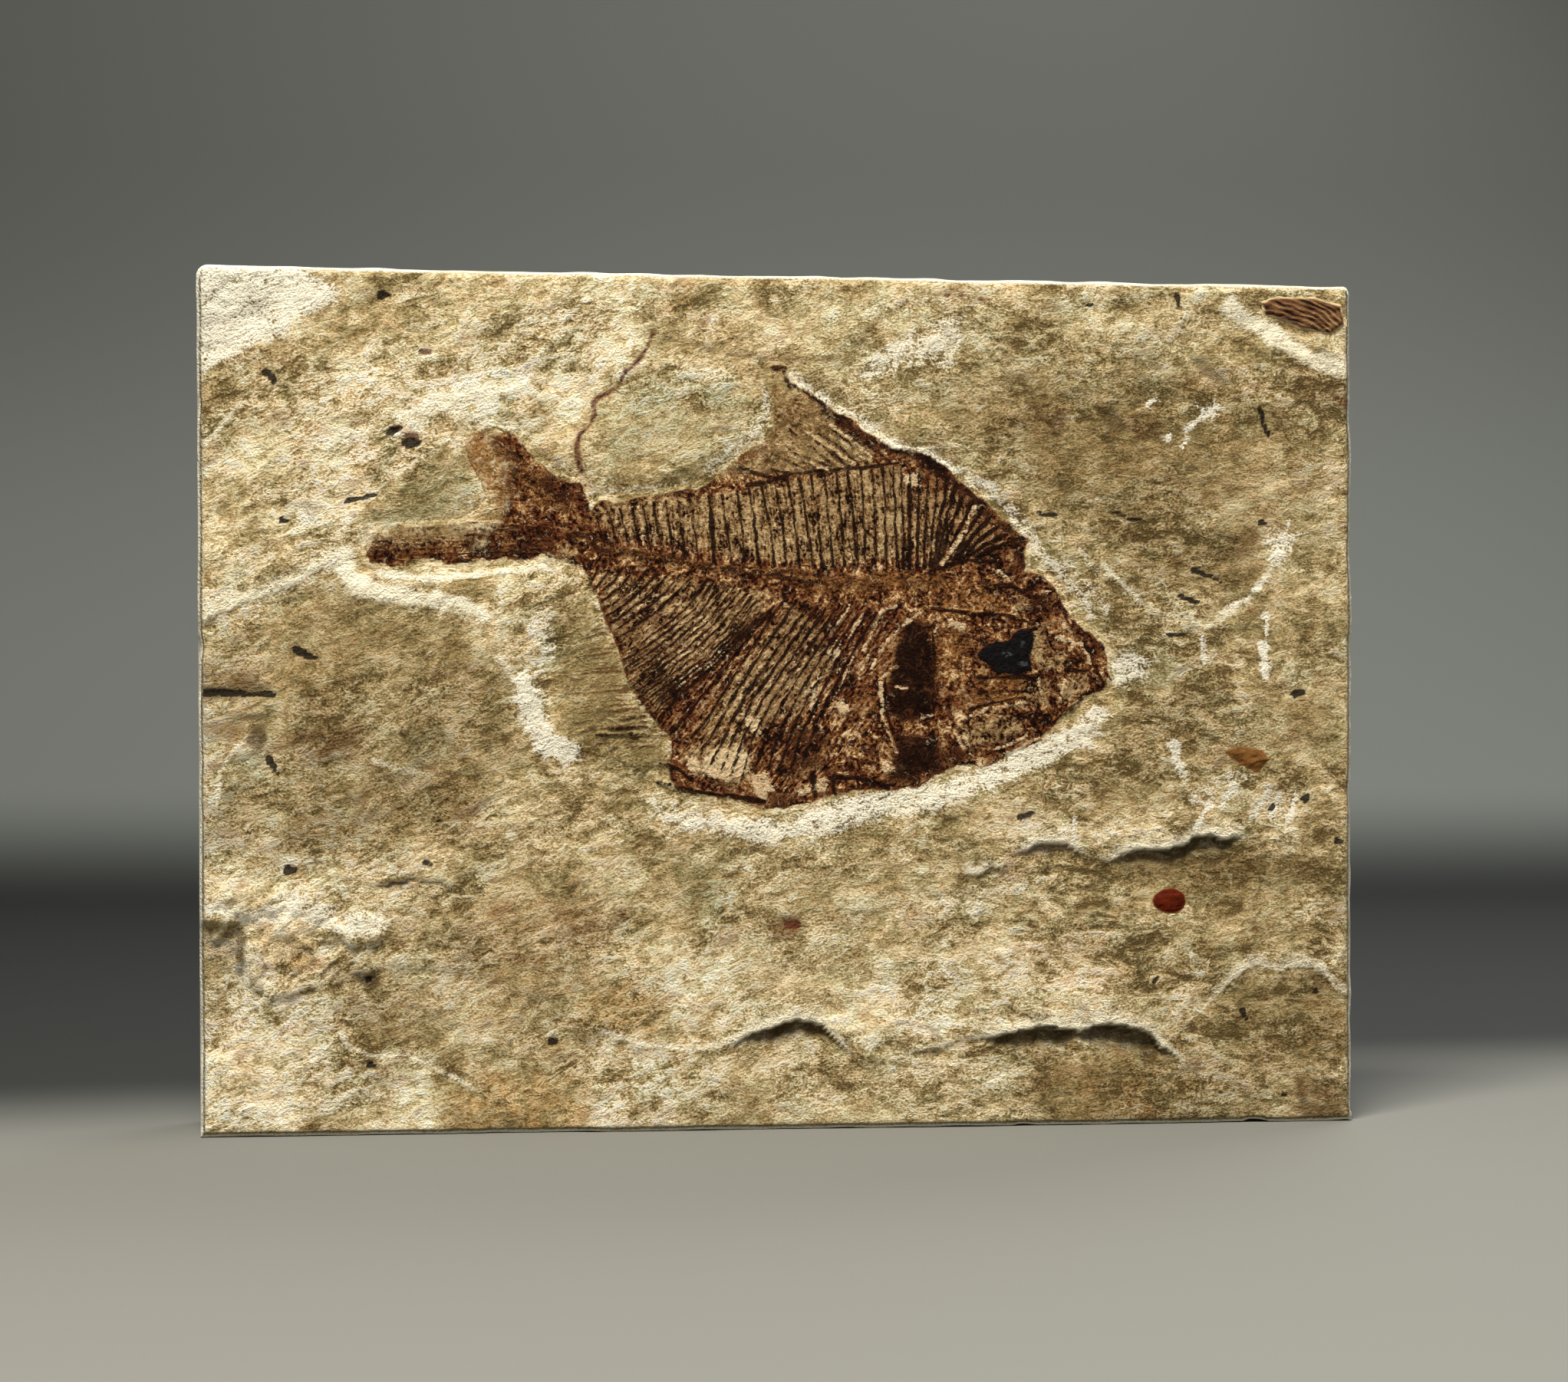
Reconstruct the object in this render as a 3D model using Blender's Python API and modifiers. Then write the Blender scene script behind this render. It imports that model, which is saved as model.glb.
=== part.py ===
"""Fossil fish slab: a sawn block of bedded limestone, with a deep-bodied fish lying in its split front face.

Metres, +Z up. The origin is the middle of the base that the slab stands on. The split face looks along -Y,
and the fish lies in it with its snout towards +X. Points on that face are written in millimetres, as (x, z).
"""

import math

import bmesh
import bpy
from mathutils import Vector

MM = 0.001

# The block.
SLAB_WIDTH = 0.1203
SLAB_HEIGHT = 0.0881
SLAB_DEPTH = 0.018
RIGHT_CORNER_DROP = 0.0002  # the top edge falls this much from left to right
FOOT_LEAN = 0.0006  # the left side runs in this much towards the foot
RIM_CHAMFER = 0.0006
FRONT_Y = -SLAB_DEPTH / 2
OVERRUN = 0.004  # how far a cutter stands out past the stone

# How far behind the highest bed each lower bed of the split face lies.
LEFT_BED = 0.0008
MIDDLE_BED = 0.0011
FOOT_BED = 0.0013
LOWER_BED = 0.0026
TROUGH = 0.0009  # the hollow scraped clear round the fish

# The fossils, each in a bed cut to its outline.
CLEARANCE = 0.0003
FILM = 0.0006  # the film of flesh and scales that carries the bones
HEAD_RISE = 0.0003
EYE_RISE = 0.00045
SCRAP_FACE = 0.0003  # how far behind the highest bed the smaller fossils of that bed lie
SCRAP_DEPTH = 0.0007
SCALE_DEPTH = 0.0005
BACKBONE = (0.00045, 0.0007)  # radius at the tail, then at the head
HEAVY_BONE = (0.0006, 0.0004)  # radius at the foot of a bone, then at its tip
SPINE = (0.00022, 0.00013)
RAY = (0.00018, 0.00011)
BONE_SINK = 0.00005  # a bone's axis lies this far under the film's face

# Where the highest beds end, each outline running on past the block's edges.
LEFT_BREAK = [(-64, 50.6), (-57.8, 52.6), (-52.7, 55.0), (-47.9, 57.2), (-46.0, 57.3), (-44.3, 54.6), (-37.2, 53.8),
              (-32.0, 52.0), (-28.6, 46.0), (-28.4, 38.0), (-33.5, 31.0), (-42.0, 25.5), (-50.7, 24.8), (-64, 25.0)]
FOOT_BREAK = [(-64, 25.0), (-52.0, 16.5), (-47.6, 14.8), (-45.1, 9.2), (-38.7, 7.8), (-32.4, 6.4), (-24.0, 6.6),
              (-12.0, -4.0), (-64, -4.0)]
MIDDLE_BREAK = [(64, 27.6), (58.6, 28.1), (51.1, 29.9), (46.3, 29.5), (41.9, 28.9), (37.2, 28.4), (33.2, 27.4),
                (29.6, 29.1), (24.4, 28.7), (21.3, 26.6), (16.1, 23.9), (8.5, 22.3), (0.0, 19.0), (-9.0, 13.6),
                (-15.0, 8.0), (-20.0, -4.0), (64, -4.0)]
LOWER_BREAK = [(64, 16.0), (58.6, 16.8), (56.2, 15.6), (50.3, 16.4), (45.1, 13.2), (41.4, 10.4), (38.3, 9.4),
               (34.8, 10.6), (30.8, 9.9), (26.0, 10.0), (20.5, 9.2), (14.1, 8.2), (8.1, 6.8), (5.0, 9.2), (1.4, 11.2),
               (-4.2, 9.6), (-9.7, 7.6), (-15.3, 8.0), (-22.8, 11.4), (-24.6, 8.0), (-21.0, 3.0), (-16.0, -4.0),
               (64, -4.0)]
TROUGH_EDGE = [(37.0, 48.6), (33.6, 54.6), (29.6, 61.0), (25.2, 65.8), (19.4, 70.4), (12.6, 73.2), (6.0, 77.2),
               (1.4, 80.6), (-3.2, 80.4), (-4.0, 74.4), (-9.2, 69.2), (-17.2, 67.0), (-21.6, 69.8), (-26.4, 73.6),
               (-33.4, 73.2), (-34.8, 68.6), (-33.0, 64.4), (-41.0, 63.6), (-45.6, 60.6), (-44.6, 56.4),
               (-34.0, 55.8), (-25.2, 55.4), (-25.8, 46.4), (-24.6, 39.4), (-18.6, 34.6), (-8.4, 31.4), (2.0, 30.8),
               (11.8, 32.4), (20.6, 34.8), (28.8, 38.4), (35.0, 43.4)]

# The fish, clockwise round its outline from the snout.
FISH = [(34.2, 47.0), (33.6, 50.0), (30.8, 52.4), (28.2, 56.0), (25.6, 60.0), (24.0, 62.6), (18.9, 66.3), (16.1, 68.7),
        (11.3, 70.2), (4.2, 74.7), (0.6, 77.0), (-1.6, 78.5), (-1.2, 74.0), (-2.4, 70.4), (-6.2, 67.5), (-9.3, 65.9),
        (-16.5, 64.7), (-19.7, 64.0), (-21.3, 66.3), (-24.4, 67.3), (-27.6, 71.3), (-30.4, 71.9), (-32.6, 70.4),
        (-30.4, 65.4), (-31.2, 63.0), (-36.0, 61.8), (-41.9, 61.2), (-43.4, 58.8), (-41.1, 57.7), (-33.2, 58.1),
        (-24.8, 58.8), (-21.9, 57.0), (-22.2, 52.0), (-23.6, 46.4), (-23.0, 40.4), (-16.0, 37.4), (-10.8, 34.8),
        (-5.0, 33.6), (-1.4, 32.8), (5.0, 34.3), (13.8, 35.0), (17.0, 37.0), (22.0, 37.5), (27.6, 40.9), (31.8, 44.9)]
SKULL = [(32.6, 47.4), (32.0, 49.8), (29.0, 52.8), (26.6, 56.6), (24.0, 60.0), (20.4, 60.4), (17.2, 58.2),
         (15.4, 53.6), (15.6, 47.6), (17.0, 41.4), (21.0, 39.0), (26.2, 41.6), (30.6, 45.0)]
GILL_COVER = [(14.6, 53.4), (11.4, 51.2), (9.7, 46.6), (10.4, 42.6), (13.4, 39.4), (16.0, 39.6), (14.8, 44.0),
              (14.2, 49.0)]
EYE = [(26.0, 51.4), (23.0, 50.9), (20.2, 49.3), (20.6, 47.8), (23.4, 46.7), (25.7, 47.3)]

# The lines along which its bones start and end.
BACKBONE_LINE = [(-21.6, 61.2), (-14.0, 59.2), (-7.0, 57.5), (1.0, 56.9), (9.0, 56.9), (15.6, 56.8)]
SPINE_FEET = [(-19.4, 61.0), (-12.0, 59.0), (-4.0, 57.6), (4.0, 57.3), (12.0, 57.5), (16.6, 58.2)]
SPINE_TIPS = [(-20.0, 63.2), (-14.6, 63.9), (-5.0, 66.4), (4.4, 67.8), (13.4, 68.0), (22.6, 62.4)]
RIB_FEET = [(-9.4, 57.0), (-3.0, 56.2), (4.0, 55.6), (10.0, 54.8)]
RIB_TIPS = [(-12.4, 46.6), (-9.8, 41.4), (-4.6, 39.0), (5.4, 41.4)]
ANAL_SUPPORT_FEET = [(-19.6, 55.0), (-17.6, 50.0), (-15.0, 44.4), (-11.4, 40.4)]
ANAL_SUPPORT_TIPS = [(-15.6, 58.4), (-11.8, 54.6), (-9.4, 50.0), (-7.0, 45.6)]
DORSAL_FEET = [(10.4, 69.0), (5.0, 68.4), (-1.0, 67.6), (-7.2, 66.4)]
DORSAL_TIPS = [(3.4, 74.4), (0.2, 74.6), (-1.6, 70.6), (-7.6, 66.8)]
UPPER_TAIL_FEET = [(-21.4, 64.9), (-22.2, 62.4)]
UPPER_TAIL_TIPS = [(-27.6, 70.4), (-31.6, 69.6)]
LOWER_TAIL_FEET = [(-22.6, 61.6), (-22.6, 59.4)]
LOWER_TAIL_TIPS = [(-41.4, 60.6), (-41.0, 58.3)]
ANAL_RAY_FEET = [(-19.9, 53.8), (-17.4, 47.6), (-13.2, 41.0)]
ANAL_RAY_TIPS = [(-21.8, 52.6), (-22.6, 45.6), (-19.8, 39.8)]
LOWER_JAW = [(20.8, 38.2), (25.6, 40.9), (30.0, 44.4), (32.6, 46.6)]
SHOULDER = [(18.0, 57.6), (15.2, 51.0), (15.0, 44.6), (17.4, 38.4)]

# The smaller fossils.
CORNER_SCRAP = [(50.3, 85.3), (52.2, 86.5), (58.6, 86.3), (59.0, 83.9), (57.4, 82.8), (53.4, 83.8)]
CORNER_RIDGE_FEET = [(51.0, 85.0), (56.6, 83.4)]
CORNER_RIDGE_TIPS = [(52.4, 86.1), (58.6, 85.6)]
RED_SCALE = [(38.6, 23.2), (39.9, 24.4), (42.0, 24.4), (42.3, 22.9), (41.0, 21.9), (39.2, 22.1)]
AMBER_SCALE = [(46.1, 38.8), (48.2, 39.5), (50.6, 38.8), (51.3, 37.6), (50.0, 36.4), (47.6, 37.4)]
SCALE_GROWTH_LINES = 2

OUTLINE_STEPS = 3
BONE_STEPS = 2


def clear_scene():
    for old in list(bpy.data.objects):
        bpy.data.objects.remove(old)


def new_collection(name, helper=False):
    made = bpy.data.collections.new(name)
    made.hide_render = helper
    bpy.context.scene.collection.children.link(made)
    return made


def new_material(name, colour, roughness):
    made = bpy.data.materials.new(name)
    made.use_nodes = True
    shader = made.node_tree.nodes["Principled BSDF"]
    shader.inputs["Base Color"].default_value = (*colour, 1.0)
    shader.inputs["Roughness"].default_value = roughness
    shader.inputs["Metallic"].default_value = 0.0
    return made


def mesh_from_curve(curve_object, into):
    """The curve object as a mesh object of the same name and place, with its end caps welded on."""
    bpy.context.view_layer.update()
    graph = bpy.context.evaluated_depsgraph_get()
    mesh = bpy.data.meshes.new_from_object(curve_object.evaluated_get(graph))
    welded = bmesh.new()
    welded.from_mesh(mesh)
    bmesh.ops.remove_doubles(welded, verts=welded.verts, dist=0.01 * MM)
    welded.to_mesh(mesh)
    welded.free()
    name, place = curve_object.name, curve_object.matrix_world.copy()
    bpy.data.objects.remove(curve_object)
    made = bpy.data.objects.new(name, mesh)
    into.objects.link(made)
    made.matrix_world = place
    return made


def plate(name, outline, back_y, front_y, into):
    """A flat piece with a smooth outline on the face, from back_y forward to front_y."""
    curve = bpy.data.curves.new(name, "CURVE")
    curve.dimensions = "2D"
    curve.fill_mode = "BOTH"
    curve.resolution_u = OUTLINE_STEPS
    curve.extrude = (back_y - front_y) / 2
    spline = curve.splines.new("BEZIER")
    spline.bezier_points.add(len(outline) - 1)
    spline.use_cyclic_u = True
    for point, (x, z) in zip(spline.bezier_points, outline):
        point.co = (x * MM, z * MM, 0.0)
        point.handle_left_type = point.handle_right_type = "AUTO"
    made = bpy.data.objects.new(name, curve)
    into.objects.link(made)
    made.rotation_euler.x = math.radians(90)
    made.location.y = (back_y + front_y) / 2
    return mesh_from_curve(made, into)


def bone(name, line, radii, axis_y, into):
    """A tapered four-sided bar along a line on the face."""
    curve = bpy.data.curves.new(name, "CURVE")
    curve.dimensions = "3D"
    curve.bevel_depth = 1.0
    curve.bevel_resolution = 0
    curve.use_fill_caps = True
    spline = curve.splines.new("POLY")
    spline.points.add(len(line) - 1)
    for i, (point, (x, z)) in enumerate(zip(spline.points, line)):
        point.co = (x * MM, axis_y, z * MM, 1.0)
        point.radius = radii[0] + (radii[1] - radii[0]) * i / (len(line) - 1)
    made = bpy.data.objects.new(name, curve)
    into.objects.link(made)
    return mesh_from_curve(made, into)


def along(line, share):
    """The point at this share, 0 to 1, of the smooth line through these points."""
    place = share * (len(line) - 1)
    i = min(int(place), len(line) - 2)
    t = place - i
    before, start, end, after = (Vector(line[min(max(i + k, 0), len(line) - 1)]) for k in (-1, 0, 1, 2))
    bend = (2 * before - 5 * start + 4 * end - after) * t**2 + (3 * start - 3 * end + after - before) * t**3
    return start + ((end - before) * t + bend) / 2


def smoothed(line, steps):
    return [along(line, i / steps) for i in range(steps + 1)]


def fan(name, count, feet, tips, radii, axis_y, bow, into):
    """Bones side by side, from the line of their feet to the line of their tips, each bowed sideways by this
    share of its length."""
    for i in range(count):
        foot, tip = along(feet, i / (count - 1)), along(tips, i / (count - 1))
        reach = tip - foot
        side = Vector((-reach.y, reach.x)) * bow
        shares = [k / BONE_STEPS for k in range(BONE_STEPS + 1)]
        line = [foot + reach * s + side * math.sin(math.pi * s) for s in shares]
        bone(f"{name}_{i + 1:02d}", line, radii, axis_y, into)


def grown(outline, by):
    """The outline moved outwards by this many metres."""
    ends = list(zip(outline, outline[1:] + outline[:1]))
    turn = math.copysign(1.0, sum(a[0] * b[1] - b[0] * a[1] for a, b in ends))
    moved = []
    for i, here in enumerate(outline):
        before, after = Vector(outline[i - 1]), Vector(outline[(i + 1) % len(outline)])
        ahead = (after - before).normalized()
        moved.append(Vector(here) + turn * by / MM * Vector((ahead.y, -ahead.x)))
    return moved


def add_boolean(body, operation, pieces):
    """Joins every object of the collection to the body, or cuts every one out of it."""
    modifier = body.modifiers.new(pieces.name, "BOOLEAN")
    modifier.operation = operation
    modifier.solver = "EXACT"
    modifier.operand_type = "COLLECTION"
    modifier.collection = pieces
    for piece in pieces.objects:
        piece.hide_render = True
        piece.display_type = "WIRE"


def cutter(name, outline, back_y, into):
    """The space in front of back_y inside this outline."""
    return plate(name, outline, back_y, FRONT_Y - OVERRUN, into)


def bed_cutter(fossil, outline, face_y, depth, into):
    """The space that a fossil lies in, clear of it all round."""
    return cutter(f"{fossil.name}_bed", grown(outline, CLEARANCE), face_y + depth + CLEARANCE, into)


def make_block(into):
    """The sawn block, a little out of square, with its arrises rubbed off."""
    bpy.ops.mesh.primitive_cube_add(size=1.0, location=(0.0, 0.0, SLAB_HEIGHT / 2))
    block = bpy.context.object
    block.name = "limestone_slab"
    for old in block.users_collection:
        old.objects.unlink(block)
    into.objects.link(block)
    block.scale = (SLAB_WIDTH, SLAB_DEPTH, SLAB_HEIGHT)
    bpy.context.view_layer.update()
    block.data.transform(block.matrix_world)
    block.matrix_world.identity()
    for corner in block.data.vertices:
        if corner.co.z > SLAB_HEIGHT / 2 and corner.co.x > 0:
            corner.co.z -= RIGHT_CORNER_DROP
        if corner.co.z < SLAB_HEIGHT / 2 and corner.co.x < 0:
            corner.co.x += FOOT_LEAN
    rim = block.modifiers.new("Rubbed arrises", "BEVEL")
    rim.width = RIM_CHAMFER
    rim.segments = 1
    return block


def break_face(cutters):
    """What has split away in front of each lower bed of the stone."""
    cutter("left_bed", LEFT_BREAK, FRONT_Y + LEFT_BED, cutters)
    cutter("foot_bed", FOOT_BREAK, FRONT_Y + FOOT_BED, cutters)
    cutter("middle_bed", MIDDLE_BREAK, FRONT_Y + MIDDLE_BED, cutters)
    cutter("lower_bed", LOWER_BREAK, FRONT_Y + LOWER_BED, cutters)
    cutter("trough", TROUGH_EDGE, FRONT_Y + TROUGH, cutters)


def make_fish(parts, cutters):
    """The film of the body, with the skull, gill cover, eye and every bone standing out of it."""
    face = FRONT_Y + TROUGH
    film = plate("fossil_fish", FISH, face + FILM, face, parts)
    film.data.materials.append(new_material("fish_bone", (0.16, 0.08, 0.04), 0.6))
    bed_cutter(film, FISH, face, FILM, cutters)

    bones = new_collection("fish_bones", helper=True)
    inside = face + FILM / 2
    plate("skull", SKULL, inside, face - HEAD_RISE, bones)
    plate("gill_cover", GILL_COVER, inside, face - 0.8 * HEAD_RISE, bones)
    plate("eye", EYE, inside, face - EYE_RISE, bones)
    axis = face + BONE_SINK
    bone("backbone", smoothed(BACKBONE_LINE, 8), BACKBONE, axis, bones)
    bone("lower_jaw", smoothed(LOWER_JAW, 4), HEAVY_BONE, axis, bones)
    bone("shoulder", smoothed(SHOULDER, 5), HEAVY_BONE, axis, bones)
    fan("neural_spine", 24, SPINE_FEET, SPINE_TIPS, SPINE, axis, 0.03, bones)
    fan("rib", 13, RIB_FEET, RIB_TIPS, SPINE, axis, -0.06, bones)
    fan("anal_support", 11, ANAL_SUPPORT_FEET, ANAL_SUPPORT_TIPS, SPINE, axis, 0.03, bones)
    fan("dorsal_ray", 9, DORSAL_FEET, DORSAL_TIPS, SPINE, axis, 0.04, bones)
    fan("upper_tail_ray", 4, UPPER_TAIL_FEET, UPPER_TAIL_TIPS, RAY, axis, 0.05, bones)
    fan("lower_tail_ray", 4, LOWER_TAIL_FEET, LOWER_TAIL_TIPS, RAY, axis, 0.02, bones)
    fan("anal_ray", 10, ANAL_RAY_FEET, ANAL_RAY_TIPS, RAY, axis, 0.04, bones)
    add_boolean(film, "UNION", bones)


def make_corner_scrap(parts, cutters):
    """A ridged scrap of another fish, in the top right corner."""
    face = FRONT_Y + SCRAP_FACE
    scrap = plate("corner_fossil", CORNER_SCRAP, face + SCRAP_DEPTH, face, parts)
    scrap.data.materials.append(new_material("corner_bone", (0.23, 0.12, 0.06), 0.6))
    bed_cutter(scrap, CORNER_SCRAP, face, SCRAP_DEPTH, cutters)
    ridges = new_collection("corner_ridges", helper=True)
    fan("corner_ridge", 6, CORNER_RIDGE_FEET, CORNER_RIDGE_TIPS, SPINE, face + BONE_SINK, 0.05, ridges)
    add_boolean(scrap, "UNION", ridges)


def make_scale(name, outline, face, colour, parts, cutters):
    """A loose scale, low at its rim and rising towards its middle by growth lines."""
    scale = plate(name, outline, face + SCALE_DEPTH, face, parts)
    scale.data.materials.append(new_material(f"{name}_bone", colour, 0.45))
    bed_cutter(scale, outline, face, SCALE_DEPTH, cutters)
    rings = new_collection(f"{name}_growth", helper=True)
    for i in range(1, SCALE_GROWTH_LINES + 1):
        ring = grown(outline, -i * CLEARANCE)
        plate(f"{name}_growth_{i}", ring, face + SCALE_DEPTH / 2, face - i * BONE_SINK, rings)
    add_boolean(scale, "UNION", rings)


def main():
    clear_scene()
    parts = new_collection("fossil_fish_slab")
    cutters = new_collection("cutters", helper=True)
    slab = make_block(parts)
    slab.data.materials.append(new_material("limestone", (0.56, 0.45, 0.29), 0.9))
    break_face(cutters)
    make_fish(parts, cutters)
    make_corner_scrap(parts, cutters)
    make_scale("red_scale", RED_SCALE, FRONT_Y + MIDDLE_BED, (0.18, 0.015, 0.006), parts, cutters)
    make_scale("amber_scale", AMBER_SCALE, FRONT_Y + SCRAP_FACE, (0.22, 0.10, 0.02), parts, cutters)
    add_boolean(slab, "DIFFERENCE", cutters)


main()
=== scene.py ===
"""Fossil fish slab: the finish of a sawn block of bedded limestone, and of the fish lying in its split face.

Run as a script: blender --python scene.py. Lengths on the split face are millimetres, as (x, z), with x to
the right from the middle of the slab and z up from its base. The face looks along -Y, and its depth is
measured in millimetres behind the highest bed of the stone.
"""

import math

import bpy
import numpy as np
from bpy.props import FloatProperty, FloatVectorProperty, PointerProperty
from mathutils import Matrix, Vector


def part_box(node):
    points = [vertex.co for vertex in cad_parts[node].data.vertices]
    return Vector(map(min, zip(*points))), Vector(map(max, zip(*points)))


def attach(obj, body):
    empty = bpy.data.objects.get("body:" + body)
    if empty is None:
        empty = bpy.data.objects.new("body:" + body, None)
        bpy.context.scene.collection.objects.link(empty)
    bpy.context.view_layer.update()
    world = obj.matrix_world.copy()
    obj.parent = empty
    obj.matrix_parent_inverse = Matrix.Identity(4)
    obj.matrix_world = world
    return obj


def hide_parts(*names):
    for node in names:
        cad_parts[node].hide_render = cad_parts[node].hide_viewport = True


bl_info = {
    "name": "Fossil Fish Slab",
    "version": (1, 0, 0),
    "blender": (4, 5, 0),
    "location": "3D View > Sidebar > Fossil Slab",
    "description": "Finishes a slab of limestone with a fossil fish in its split face",
    "category": "Object",
}

MM = 0.001
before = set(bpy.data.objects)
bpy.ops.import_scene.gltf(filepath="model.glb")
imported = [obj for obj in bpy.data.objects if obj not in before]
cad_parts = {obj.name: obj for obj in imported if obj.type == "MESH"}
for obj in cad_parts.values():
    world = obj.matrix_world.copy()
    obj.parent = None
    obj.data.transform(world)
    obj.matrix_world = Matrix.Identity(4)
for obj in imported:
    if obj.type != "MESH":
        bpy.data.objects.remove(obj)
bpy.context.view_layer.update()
SLAB_LOW, SLAB_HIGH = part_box("limestone_slab")
FRONT, BACK = SLAB_LOW.y / MM, SLAB_HIGH.y / MM
LEFT, RIGHT, TOP = SLAB_LOW.x / MM, SLAB_HIGH.x / MM, SLAB_HIGH.z / MM


def shade(red, green, blue):
    """A colour as a paint chart gives it, 0 to 255, made linear."""
    shares = [part / 255 for part in (red, green, blue)]
    return tuple(s / 12.92 if s < 0.0405 else ((s + 0.055) / 1.055) ** 2.4 for s in shares)


# --- Noise ---


def lattice(i, j, seed):
    """A fixed number from 0 to 1 for each whole cell. The large numbers only scatter the cells."""
    n = (i.astype(np.int64) * 73856093) ^ (j.astype(np.int64) * 19349663) ^ (seed * 83492791)
    n = (n & 0x7FFFFFFF) * 1274126177
    n = (n ^ (n >> 15)) & 0x7FFFFFFF
    n = n * 668265263
    return ((n >> 13) & 0xFFFF) / 65535.0


def noise(x, z, size, seed):
    """Smooth noise from -1 to 1, in lumps of this size."""
    u, v = x / size + 13.7 * seed, z / size - 7.3 * seed
    i, j = np.floor(u), np.floor(v)
    u, v = u - i, v - j
    u, v = u * u * (3 - 2 * u), v * v * (3 - 2 * v)
    low = lattice(i, j, seed) * (1 - u) + lattice(i + 1, j, seed) * u
    high = lattice(i, j + 1, seed) * (1 - u) + lattice(i + 1, j + 1, seed) * u
    return 2 * (low * (1 - v) + high * v) - 1


def fractal(x, z, size, octaves, seed, gain=0.5):
    """Noise with finer noise over it, each octave half the size of the last and weaker by the gain."""
    total, weight, weights = 0.0, 1.0, 0.0
    for k in range(octaves):
        total = total + weight * noise(x, z, size / 2**k, seed + k)
        weights += weight
        weight *= gain
    return total / weights


def with_grain(x, z, degrees, stretch):
    """The point seen along a grain that rises to the right by this angle, squeezed along it so that noise
    read there comes out as streaks."""
    c, s = math.cos(math.radians(degrees)), math.sin(math.radians(degrees))
    return (x * c + z * s) / stretch, z * c - x * s


def smooth(value, low, high):
    """0 below low, 1 above high and smooth between. low may be the larger."""
    t = np.clip((value - low) / (high - low), 0, 1)
    return t * t * (3 - 2 * t)


# --- The canvas: points on the face, and what is laid over them ---


def to_line(x, z, line):
    """How far each point is from a line through these points, and how far along it, 0 to 1."""
    best, share = np.full(x.shape, np.inf), np.zeros(x.shape)
    lengths = [math.dist(a, b) for a, b in zip(line, line[1:])]
    whole, run = sum(lengths), 0.0
    for (ax, az), (bx, bz), length in zip(line, line[1:], lengths):
        t = np.clip(((x - ax) * (bx - ax) + (z - az) * (bz - az)) / max(length, 1e-6) ** 2, 0, 1)
        d = np.hypot(x - ax - t * (bx - ax), z - az - t * (bz - az))
        nearer = d < best
        best[nearer] = d[nearer]
        share[nearer] = (run + t[nearer] * length) / whole
        run += length
    return best, share


def outside(x, z, outline):
    """How far each point is outside a closed outline, negative inside it."""
    ring = list(outline) + [outline[0]]
    distance = to_line(x, z, ring)[0]
    within = np.zeros(x.shape, bool)
    for (ax, az), (bx, bz) in zip(ring, ring[1:]):
        if az != bz:
            crosses = (az > z) != (bz > z)
            within ^= crosses & (x < (bx - ax) * (z - az) / (bz - az) + ax)
    return np.where(within, -distance, distance)


class Canvas:
    """Points on the face and the layers laid over them, each from 0 to 1 but for tone, which may be
    negative. Lines and spots are read at the fine places, which stray a little, and patches at the ragged
    ones, which stray more."""

    def __init__(self, x, z, layers):
        self.x, self.z = x, z
        self.fine = self.strayed(0.16, size=1, octaves=3, seeds=(11, 14))
        self.ragged = self.strayed(1.1, size=3.2, octaves=4, seeds=(21, 27), gain=0.6)
        self.layers = {name: np.zeros(x.shape) for name in layers}

    def strayed(self, far, size, octaves, seeds, gain=0.5):
        """The points, each moved by noise of up to this far."""
        x, z = self.x, self.z
        return tuple(c + far * fractal(x, z, size, octaves, seed, gain) for c, seed in zip((x, z), seeds))

    def near(self, points, margin):
        """The indices of the points within this margin of the box round the given ones."""
        xs, zs = [p[0] for p in points], [p[1] for p in points]
        inside = (self.x > min(xs) - margin) & (self.x < max(xs) + margin)
        return np.nonzero(inside & (self.z > min(zs) - margin) & (self.z < max(zs) + margin))[0]

    def lay(self, layer, index, amount):
        values = self.layers[layer]
        if layer == "tone":
            values[index] += amount
        else:
            values[index] = np.maximum(values[index], amount)

    def stroke(self, layer, line, width, strength=1.0, soft=0.16, taper=0.4):
        """A line of this width, narrowing by taper at its far end."""
        index = self.near(line, width + soft + 0.5)
        d, share = to_line(self.fine[0][index], self.fine[1][index], line)
        uneven = 1 + 0.5 * noise(self.x[index], self.z[index], size=1, seed=67)
        half = width / 2 * (1 - taper * share) * uneven
        self.lay(layer, index, strength * smooth(d, half + soft, half - soft))

    def patch(self, layer, outline, strength=1.0, soft=0.4):
        """An area with a ragged edge."""
        index = self.near(outline, 2 * soft + 1.5)
        d = outside(self.ragged[0][index], self.ragged[1][index], outline)
        self.lay(layer, index, strength * smooth(d, soft, -soft))

    def cave(self, layer, outline, strength):
        """A small patch with a clean edge."""
        index = self.near(outline, 1.0)
        x, z = (0.65 * fine + 0.35 * ragged for fine, ragged in zip(self.fine, self.ragged))
        d = outside(x[index], z[index], outline)
        self.lay(layer, index, strength * smooth(d, 0.3, -0.25))

    def spot(self, layer, place, radii, strength=1.0, soft=0.4):
        """An oval spot: soft is the share of its radius over which it fades."""
        index = self.near([place], 1.6 * max(radii) + 0.3)
        dx, dz = self.fine[0][index] - place[0], self.fine[1][index] - place[1]
        d = np.hypot(dx / radii[0], dz / radii[1])
        self.lay(layer, index, strength * smooth(d, 1 + soft, 1 - soft))


# --- The split face ---

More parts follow.
